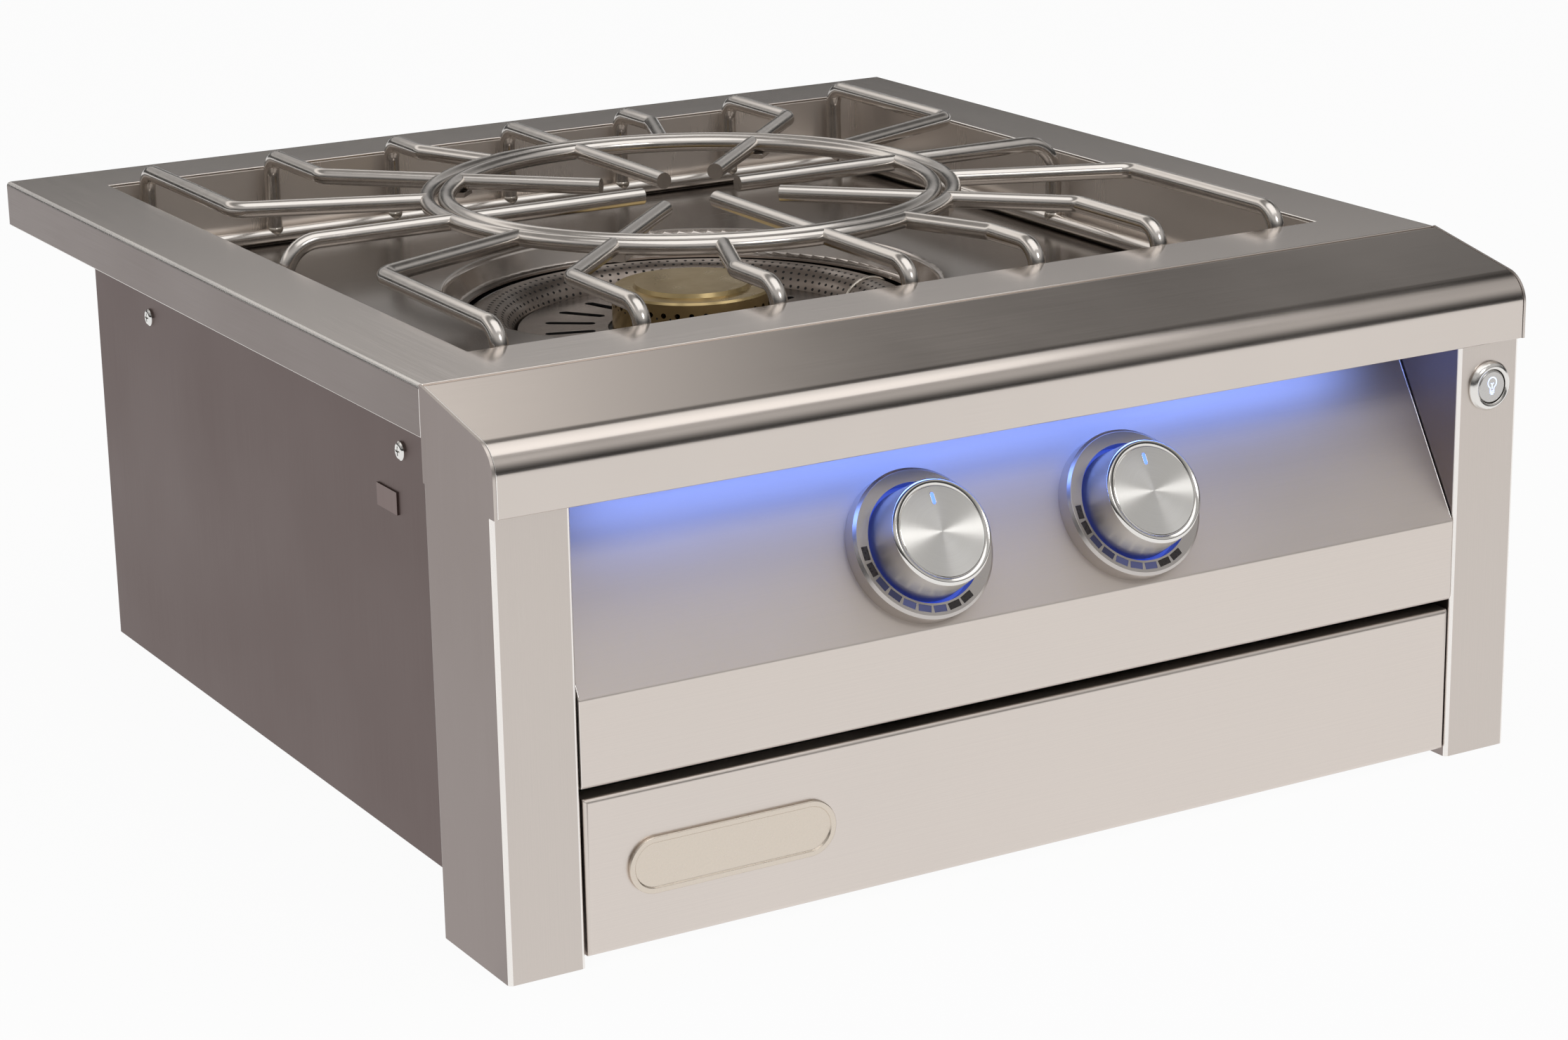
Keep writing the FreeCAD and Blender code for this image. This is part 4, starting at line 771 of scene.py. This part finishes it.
class BURNER_OT_shell(Dress, bpy.types.Operator):
    """Rim, fascia, columns and panels in brushed sheet"""

    bl_idname = "burner.shell"
    bl_label = "Shell"

    def dress(self, sizes):
        dressed("top_rim", "rim", 0.5 * MM, "shaded_rim_end")
        dressed("front_fascia", "fascia", 0.7 * MM, "shaded_end_steel")
        dressed("left_column", "brushed_z", 0.6 * MM, "shaded_end_steel")
        dressed("right_column", "brushed_z", 0.6 * MM, "shaded_end_steel")
        panel = dressed("control_panel", "panel_sheet", 0.6 * MM, "panel_sheet")
        panel.data.materials.append(finish("front_sheet"))
        for polygon in panel.data.polygons:
            if polygon.normal.y < -FACING:
                polygon.material_index = len(panel.data.materials) - 1
        # Thin bright rods along both ends of the panel paint a highlight on its edges.
        place = knob_place("right")
        up = place.to_3x3() @ Vector((0, 1, 0))
        low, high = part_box("control_panel")
        start = place.translation
        foot, head = [start + up * ((z - start.z) / up.z) for z in (PANEL_FOOT, PANEL_HEAD)]
        for x in (low.x, high.x):
            inset = 0.5 * MM if x < 0 else -0.5 * MM
            line = [Vector((x + inset, point.y + 0.3 * MM, point.z)) for point in (foot, head)]
            side = "left" if x < 0 else "right"
            settle(rods(f"panel_edge_{side}", [line], 0.5 * MM, "painted_edge_highlight"), None, "control_panel")
        for node in ("left_side_panel", "right_side_panel"):
            piece = dressed(node, "dull_and_shaded_side")
            # The tab on each side panel takes a lighter copy of the sheet, which paints a reflection.
            piece.data.materials.append(finish("painted_tab_reflection"))
            reach = max(abs(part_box(node)[0].x), abs(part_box(node)[1].x)) - 0.4 * MM
            for polygon in piece.data.polygons:
                if abs(polygon.center.x) > reach:
                    polygon.material_index = 1
        dressed("rear_panel", "galvanised")
        dressed("bottom_panel", "galvanised")
        dressed("side_screws", "chrome", 0.2 * MM)


class BURNER_OT_firebox(Dress, bpy.types.Operator):
    """Firebox walls and the drawn burner pan"""

    bl_idname = "burner.firebox"
    bl_label = "Firebox"

    def dress(self, sizes):
        dressed("firebox", "firebox")
        pan = dressed("burner_pan", "pan")
        # Upright faces of the dish take the lighter copy, a painted reflection; the pan's floor keeps the darker
        # copy, a painted shade.
        pan.data.materials.append(finish("drawn_dish"))
        for polygon in pan.data.polygons:
            if abs(polygon.normal.z) < FACING:
                polygon.material_index = 1


class BURNER_OT_burners(Dress, bpy.types.Operator):
    """Ring burner with its ports, brass head and air plate"""

    bl_idname = "burner.burners"
    bl_label = "Burners"

    def dress(self, sizes):
        low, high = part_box("burner_head")
        centre = Vector(((low.x + high.x) / 2, (low.y + high.y) / 2, 0))
        plate = dressed("air_plate", "air_plate", 0.2 * MM)
        # The slots' side walls take a near-black finish that paints the shade inside them.
        plate.data.materials.append(finish("painted_hole_shade"))
        for polygon in plate.data.polygons:
            reach = (polygon.center - centre).xy.length
            if abs(polygon.normal.z) < 0.5 and SLOTS_IN < reach < SLOTS_OUT:
                polygon.material_index = 1
        dressed("burner_head", "brass", 0.5 * MM)
        radius = (high.x - low.x) / 2
        # Near-black discs paint the shade in the brass head's small ports.
        spots = []
        for index in range(HEAD_PILOTS):
            way = outward(2 * math.pi * (index + 0.5) / HEAD_PILOTS)
            spots.append((centre + way * radius + UP * (high.z - PILOT_DROP), way))
        pilots = marks("burner_head_pilots", spots, disc_shape(), sizes.pilot_port, "painted_hole_shade")
        settle(pilots, None, "burner_head")

        dressed("ring_burner", "burner_steel", 0.4 * MM)
        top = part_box("ring_burner")[1]
        tube = RING_TUBE_R
        bend = top.x - tube
        middle = Vector((centre.x, centre.y, top.z - tube))
        # Near-black discs paint the shade in the ring burner's ports.
        spots = []
        for row, slope in enumerate(RING_ROWS):
            lean = math.radians(slope)
            reach = bend - tube * math.sin(lean)
            count = round(2 * math.pi * reach / sizes.port_pitch)
            for index in range(count):
                out = outward(2 * math.pi * (index + 0.5 * (row % 2)) / count)
                way = UP * math.cos(lean) - out * math.sin(lean)
                spots.append((middle + out * bend + way * tube, way))
        ports = marks("ring_burner_ports", spots, disc_shape(8), sizes.port, "painted_hole_shade")
        settle(ports, None, "ring_burner")
        out = outward(RING_WELD_AT)
        around = []
        for step in range(WELD_STEPS):
            t = 2 * math.pi * step / WELD_STEPS
            around.append(middle + out * (bend + math.cos(t) * tube) + UP * math.sin(t) * tube)
        around.append(around[0].copy())
        settle(rods("ring_burner_weld", [around], 1.2 * MM, "weld"), None, "ring_burner")


class BURNER_OT_grate(Dress, bpy.types.Operator):
    """Grate ring, bent spokes with legs, lower frame and weld beads"""

    bl_idname = "burner.grate"
    bl_label = "Grate"

    def dress(self, sizes):
        centre, rod, low, high, z_frame = grate_places()
        z_rod = centre.z
        ring_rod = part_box("grate_ring")[1].z - z_rod
        ring_r = GRATE_RING_R
        y_reach = (high.y - low.y) / 2 - rod
        x_reach = (high.x - low.x) / 2 - rod
        paths, beads, feet = [], [], []
        for side in (-1, 1):
            for place in range(-SPOKES_EACH_WAY, SPOKES_EACH_WAY + 1):
                angle = SPOKE_STEP * place
                x = place * SPOKE_PITCH
                out = Vector((math.sin(angle), side * math.cos(angle), 0))
                end = Vector((centre.x, centre.y, z_rod)) + out * ring_r
                leg = Vector((x, centre.y + side * y_reach, z_rod))
                points = [Vector((leg.x, leg.y, z_frame)), leg]
                bends = [LEG_BEND]
                if place:
                    points.append(Vector((x, centre.y + side * abs(x / math.tan(angle)), z_rod)))
                    bends.append(SPOKE_BEND)
                points.append(end)
                paths.append(rounded_path(points, bends))
                beads.append((end + out * ring_rod, out))
                feet.append((points[0] + UP * rod * 0.7, UP))
        for side in (-1, 1):
            leg = Vector((side * x_reach, centre.y, z_rod))
            out = Vector((side, 0, 0))
            end = Vector((side * ring_r, centre.y, z_rod))
            foot = Vector((leg.x, leg.y, z_frame))
            paths.append(rounded_path([foot, leg, end], [SIDE_LEG_BEND]))
            beads.append((end + out * ring_rod, out))
            feet.append((foot + UP * rod * 0.7, UP))
        settle(rods("grate_spoke_rods", paths, rod, "rod"), None, "grate_spokes")
        welds = marks("grate_welds", beads, bead_shape(), sizes.weld * 1.25, "weld")
        settle(welds, None, "grate_spokes")
        foot_welds = marks("grate_foot_welds", feet, bead_shape(), sizes.weld * 1.6, "weld")
        settle(foot_welds, None, "grate_spokes")

        corners = [Vector((sx * x_reach, centre.y + sy * y_reach, z_frame))
                   for sx, sy in ((-1, -1), (1, -1), (1, 1), (-1, 1))]
        start = (corners[0] + corners[3]) / 2
        loop = rounded_path([start] + corners + [start], [SPOKE_BEND] * 4)
        settle(rods("grate_lower_frame", [loop], rod, "rod"), None, "grate_frame")
        circle = ring_path(Vector((centre.x, centre.y, z_rod)), ring_r)
        settle(rods("grate_ring_rod", [circle], ring_rod, "rod"), None, "grate_ring")
        self.lugs(Vector((centre.x, centre.y, z_rod)), ring_r, ring_rod)

    def lugs(self, centre, ring_r, ring_rod):
        """The lugs under the ring: what is left of the frame's node without the round of its rod."""
        raw = node_copy("grate_ring", "grate_lugs_raw")
        bm = bmesh.new()
        bm.from_mesh(raw.data)
        rod_faces = []
        for face in bm.faces:
            gaps = []
            for vert in face.verts:
                spot = vert.co - centre
                gaps.append(abs(math.hypot(spot.xy.length - ring_r, spot.z) - ring_rod))
            if max(gaps) < 0.12 * MM:
                rod_faces.append(face)
        bmesh.ops.delete(bm, geom=rod_faces, context="FACES")
        bm.to_mesh(raw.data)
        bm.free()
        settle(soften(raw, "grate_lugs", 0.3 * MM), "rod", "grate_ring")


class BURNER_OT_wok_ring(Dress, bpy.types.Operator):
    """Loose wok ring and its fingers"""

    bl_idname = "burner.wok_ring"
    bl_label = "Wok ring"

    def dress(self, sizes):
        centre, rod, _, _, _ = grate_places()
        low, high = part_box("wok_ring")
        ring_rod = high.z - centre.z
        ring_r = (high.x - low.x) / 2 - ring_rod
        circle = ring_path(centre, ring_r)
        settle(rods("wok_ring_rod", [circle], ring_rod, "rod"), None, "wok_ring")
        paths, beads = [], []
        for index in range(FINGERS):
            out = outward(2 * math.pi * index / FINGERS)
            inner = SHORT_FINGER if index % 2 else LONG_FINGER
            paths.append([centre + out * inner, centre + out * ring_r])
            beads.append((centre + out * (ring_r - ring_rod), out))
        settle(rods("wok_ring_fingers", paths, rod, "rod"), None, "wok_fingers")
        welds = marks("wok_ring_welds", beads, bead_shape(), sizes.weld * 1.25, "weld")
        settle(welds, None, "wok_fingers")


class BURNER_OT_knobs(Dress, bpy.types.Operator):
    """Knobs with spun faces, bezels, dial windows and light rings"""

    bl_idname = "burner.knobs"
    bl_label = "Knobs"

    def dress(self, sizes):
        for side in ("left", "right"):
            place = knob_place(side)
            for label, profile, material in KNOB_TURNING:
                obj = lathe(f"knob_{side}_{label}", [(r * MM, z * MM) for r, z in profile], place)
                settle(obj, material, f"knob_{side}")
            dressed(f"bezel_{side}", "bezel", 0.35 * MM)
            self.pointer(side, place)
            painted(f"stem_{side}", "aluminium")
            painted(f"plunger_{side}", "brass")
        self.windows()
        painted("halo_rings", "light_ring")

    def windows(self):
        """Dial windows, lit from the middle of their arc towards its ends."""
        piece = dressed("dial_windows", "window_dark", 0.2 * MM)
        piece.data.materials.append(finish("window_dim"))
        piece.data.materials.append(finish("window_lit"))
        places = [knob_place(side).inverted() for side in ("left", "right")]
        for polygon in piece.data.polygons:
            spot = min((place @ polygon.center for place in places), key=lambda point: point.xy.length)
            turn = math.degrees(math.atan2(spot.y, spot.x)) % 360
            number = round((turn - 180) / WINDOW_STEP)
            polygon.material_index = 2 if 4 <= number <= 6 else 1 if 2 <= number <= 3 else 0

    def pointer(self, side, place):
        """Lit bar let into the knob's face, with a thin bright lip round it."""
        outline = []
        for sign in (1, -1):
            for step in range(9):
                turn = math.radians(180 * step / 8) + (0 if sign > 0 else math.pi)
                x = POINTER_R * math.cos(turn)
                y = POINTER_AT + sign * POINTER_HALF + POINTER_R * math.sin(turn)
                outline.append(Vector((x, y, 29.24)))
        bm = bmesh.new()
        rim = [bm.verts.new(place @ (point * MM)) for point in outline]
        crown = []
        for point in outline:
            inner = Vector((point.x * 0.7, POINTER_AT + (point.y - POINTER_AT) * 0.85, 29.42))
            crown.append(bm.verts.new(place @ (inner * MM)))
        for index in range(len(rim)):
            after = (index + 1) % len(rim)
            bm.faces.new((rim[index], rim[after], crown[after], crown[index]))
        bm.faces.new(crown)
        bmesh.ops.recalc_face_normals(bm, faces=bm.faces)
        name = f"knob_{side}_pointer"
        mesh = mesh_of(bm, name)
        mesh.shade_smooth()
        settle(link(name, mesh), "light_pointer", f"knob_pointer_{side}")
        loop = [place @ (point * MM) for point in outline]
        lip = rods(f"knob_{side}_pointer_lip", [loop + [loop[0].copy()]], 0.22 * MM, "bright_edge")
        settle(lip, None, f"knob_{side}")


class BURNER_OT_switch(Dress, bpy.types.Operator):
    """Light switch: chrome ring, cap and its bulb symbol"""

    bl_idname = "burner.switch"
    bl_label = "Light switch"

    def dress(self, sizes):
        dressed("button_ring", "switch_ring", 0.3 * MM)
        dressed("button_cap", "button_face", 0.3 * MM)
        low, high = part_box("button_cap")
        middle = Vector(((low.x + high.x) / 2, low.y, (low.z + high.z) / 2))
        lines = [[(2.9 * math.sin(t), 1.2 - 2.9 * math.cos(t)) for t in
                  [math.radians(28 + 304 * i / 24) for i in range(25)]],
                 [(1.36, -1.36), (1.2, -2.4), (1.2, -3.0)], [(-1.36, -1.36), (-1.2, -2.4), (-1.2, -3.0)],
                 [(-1.5, -3.4), (1.5, -3.4)], [(-1.5, -4.3), (1.5, -4.3)], [(-0.8, -5.1), (0.8, -5.1)],
                 [(0.0, -2.2), (0.0, 0.2)], [(-0.9, 1.0), (0.0, 0.2), (0.9, 1.0)]]
        paths = []
        for line in lines:
            paths.append([middle + Vector((x * MM, 0.12 * MM, (z + SYMBOL_RISE) * MM)) for x, z in line])
        settle(rods("button_bulb_symbol", paths, 0.34 * MM, "light_symbol"), None, "button_cap")
        painted("switch_body", "black_plastic")
        painted("switch_nut", "galvanised")


class BURNER_OT_tray(Dress, bpy.types.Operator):
    """Drip tray, its front, blank plate and rails"""

    bl_idname = "burner.tray"
    bl_label = "Drip tray"

    def dress(self, sizes):
        dressed("tray_front", "front_sheet")
        dressed("badge_plate", "satin_plate", 0.5 * MM)
        painted("tray_pan", "galvanised")
        painted("tray_rails", "galvanised")


class BURNER_OT_lights(Dress, bpy.types.Operator):
    """Light strip behind the header"""

    bl_idname = "burner.lights"
    bl_label = "Lights"

    def dress(self, sizes):
        dressed("led_lens", "light_strip", 0.3 * MM)
        painted("led_channel", "galvanised")
        painted("led_driver", "black_plastic")
        painted("power_gland", "black_plastic")


class BURNER_OT_gas(Dress, bpy.types.Operator):
    """Gas and ignition pieces inside the box"""

    bl_idname = "burner.gas"
    bl_label = "Gas and ignition"

    def dress(self, sizes):
        for node, material in (
                ("manifold", "black_pipe"), ("gas_inlet", "brass"), ("gas_orifices", "brass"),
                ("valve_left", "brass"), ("valve_right", "brass"), ("gas_tube_left", "aluminium"),
                ("gas_tube_right", "aluminium"), ("burner_pot", "cast_iron"),
                ("burner_rails", "galvanised"), ("burner_bridge", "galvanised"),
                ("ring_saddles", "galvanised"), ("igniter", "ceramic"), ("igniter_lead", "silicone"),
                ("spark_module", "black_plastic")):
            painted(node, material)


class BURNER_OT_stage(bpy.types.Operator):
    """Pale floor, soft studio light and the camera"""

    bl_idname = "burner.stage"
    bl_label = "Stage"

    def execute(self, context):
        self.floor()
        self.world(context.scene)
        self.lamps()
        self.camera(context.scene)
        context.scene.view_settings.view_transform = "Standard"
        return {"FINISHED"}

    def floor(self):
        mesh = bpy.data.meshes.new("floor")
        reach = 30.0
        mesh.from_pydata([(-reach, -reach, 0), (reach, -reach, 0), (reach, reach, 0), (-reach, reach, 0)],
                         [], [(0, 1, 2, 3)])
        floor = link("floor", mesh)
        floor.location.z = -0.0005
        material = bpy.data.materials.new("pale floor")
        material.use_nodes = True
        tree = material.node_tree
        tree.nodes.clear()
        out = tree.nodes.new("ShaderNodeOutputMaterial")
        matte = add(tree, "ShaderNodeBsdfDiffuse")
        matte.inputs["Color"].default_value = (0.82, 0.82, 0.82, 1)
        white = add(tree, "ShaderNodeEmission", Strength=1.0)
        rays = tree.nodes.new("ShaderNodeLightPath")
        seen = add(tree, "ShaderNodeMath", operation="MAXIMUM")
        more = add(tree, "ShaderNodeMath", operation="MAXIMUM")
        share = add(tree, "ShaderNodeMath", operation="MULTIPLY")
        share.inputs[1].default_value = 0.95
        mix = tree.nodes.new("ShaderNodeMixShader")
        wire(tree, (rays.outputs["Is Camera Ray"], seen.inputs[0]),
             (rays.outputs["Is Glossy Ray"], seen.inputs[1]), (seen.outputs[0], more.inputs[0]),
             (rays.outputs["Is Transmission Ray"], more.inputs[1]), (more.outputs[0], share.inputs[0]),
             (share.outputs[0], mix.inputs[0]), (matte.outputs[0], mix.inputs[1]),
             (white.outputs[0], mix.inputs[2]), (mix.outputs[0], out.inputs["Surface"]))
        mesh.materials.append(material)

    def world(self, scene):
        world = bpy.data.worlds.new("studio")
        scene.world = world
        world.use_nodes = True
        tree = world.node_tree
        background = tree.nodes["Background"]
        place = tree.nodes.new("ShaderNodeTexCoord")
        axes = tree.nodes.new("ShaderNodeSeparateXYZ")
        tree.links.new(place.outputs["Generated"], axes.inputs[0])
        front = self.ramp(tree, axes.outputs["Z"], SKY_FRONT)
        low = self.ramp(tree, axes.outputs["Z"], SKY_LOW_BACK)
        high = self.ramp(tree, axes.outputs["Z"], SKY_HIGH_BACK)
        across = add(tree, "ShaderNodeMapRange")
        across.inputs["From Min"].default_value = -1.0
        tree.links.new(axes.outputs["X"], across.inputs["Value"])
        shade = self.ramp(tree, across.outputs["Result"], SKY_ACROSS)
        dimmed = add(tree, "ShaderNodeMix", data_type="RGBA", blend_type="MULTIPLY")
        dimmed.inputs[0].default_value = 1.0
        wire(tree, (high, dimmed.inputs[6]), (shade, dimmed.inputs[7]))
        back = self.blend(tree, axes.outputs["Z"], 0.42, 0.53, low, dimmed.outputs[2])
        sky = self.blend(tree, axes.outputs["Y"], -0.2, 0.25, front, back)
        tree.links.new(sky, background.inputs["Color"])
        background.inputs["Strength"].default_value = 1.0

    def blend(self, tree, value, start, end, first, second):
        """Colour that passes softly from the first to the second while a value runs from start to end."""
        share = add(tree, "ShaderNodeMapRange", interpolation_type="SMOOTHSTEP")
        share.inputs["From Min"].default_value = start
        share.inputs["From Max"].default_value = end
        mix = add(tree, "ShaderNodeMix", data_type="RGBA")
        wire(tree, (value, share.inputs["Value"]), (share.outputs["Result"], mix.inputs[0]),
             (first, mix.inputs[6]), (second, mix.inputs[7]))
        return mix.outputs[2]

    def ramp(self, tree, height, stops):
        """Grey levels by height of the direction above the horizon."""
        node = tree.nodes.new("ShaderNodeValToRGB")
        while len(node.color_ramp.elements) < len(stops):
            node.color_ramp.elements.new(0.5)
        for element, (position, level) in zip(node.color_ramp.elements, stops):
            element.position = position
            element.color = (level, level * 0.985, level * 0.97, 1)
        tree.links.new(height, node.inputs["Fac"])
        return node.outputs["Color"]

    def lamps(self):
        for name, place, aim, width, depth, watts in (
                ("overhead", (0.2, -0.52, 2.5), (0.2, -0.5201, 0.0), 2.8, 1.95, 16.5),
                ("front", (0.2, -2.6, 2.2), (0.0, 0.0, 0.15), 0.9, 0.6, 8.5)):
            light = bpy.data.lights.new(name, "AREA")
            light.shape = "RECTANGLE"
            light.size = width
            light.size_y = depth
            light.energy = watts
            lamp = bpy.data.objects.new(name, light)
            bpy.context.scene.collection.objects.link(lamp)
            lamp.location = place
            lamp.rotation_mode = "QUATERNION"
            lamp.rotation_quaternion = (Vector(aim) - Vector(place)).to_track_quat("-Z", "Y")

    def camera(self, scene):
        view = scene.burner_view
        data = bpy.data.cameras.new("camera")
        camera = bpy.data.objects.new("camera", data)
        scene.collection.objects.link(camera)
        azimuth, elevation = math.radians(view.azimuth), math.radians(view.elevation)
        flat = math.cos(elevation)
        forward = Vector((-math.sin(azimuth) * flat, math.cos(azimuth) * flat, -math.sin(elevation)))
        level = forward.cross(UP).normalized()
        upright = level.cross(forward)
        roll = math.radians(view.roll)
        right = level * math.cos(roll) + upright * math.sin(roll)
        above = right.cross(forward)
        turn = Matrix((right, above, -forward)).transposed().to_4x4()
        camera.matrix_world = Matrix.Translation(Vector(view.place)) @ turn
        data.sensor_fit = "HORIZONTAL"
        data.sensor_width = 36.0
        data.lens = view.lens
        data.clip_start = 0.05
        data.clip_end = 100.0
        scene.camera = camera


DRESSING = (BURNER_OT_shell, BURNER_OT_firebox, BURNER_OT_burners, BURNER_OT_grate, BURNER_OT_wok_ring,
            BURNER_OT_knobs, BURNER_OT_switch, BURNER_OT_tray, BURNER_OT_lights, BURNER_OT_gas,
            BURNER_OT_stage)


class BURNER_PT_panel(bpy.types.Panel):
    """The steps that dress the burner, in order"""

    bl_idname = "BURNER_PT_panel"
    bl_label = "Power burner"
    bl_space_type = "VIEW_3D"
    bl_region_type = "UI"
    bl_category = "Power burner"

    def draw(self, context):
        for operator in DRESSING:
            self.layout.operator(operator.bl_idname)
        scene = context.scene
        for group in (scene.burner_sizes, scene.burner_colours, scene.burner_view):
            for name in group.__annotations__:
                self.layout.prop(group, name)


CLASSES = (BurnerSizes, BurnerColours, BurnerView, *DRESSING, BURNER_PT_panel)


def register():
    for cls in CLASSES:
        bpy.utils.register_class(cls)
    bpy.types.Scene.burner_sizes = PointerProperty(type=BurnerSizes)
    bpy.types.Scene.burner_colours = PointerProperty(type=BurnerColours)
    bpy.types.Scene.burner_view = PointerProperty(type=BurnerView)


def unregister():
    del bpy.types.Scene.burner_view
    del bpy.types.Scene.burner_colours
    del bpy.types.Scene.burner_sizes
    for cls in reversed(CLASSES):
        bpy.utils.unregister_class(cls)


def main():
    register()
    bpy.ops.burner.shell()
    bpy.ops.burner.firebox()
    bpy.ops.burner.burners()
    bpy.ops.burner.grate()
    bpy.ops.burner.wok_ring()
    bpy.ops.burner.knobs()
    bpy.ops.burner.switch()
    bpy.ops.burner.tray()
    bpy.ops.burner.lights()
    bpy.ops.burner.gas()
    bpy.ops.burner.stage()


if __name__ == "__main__":
    main()
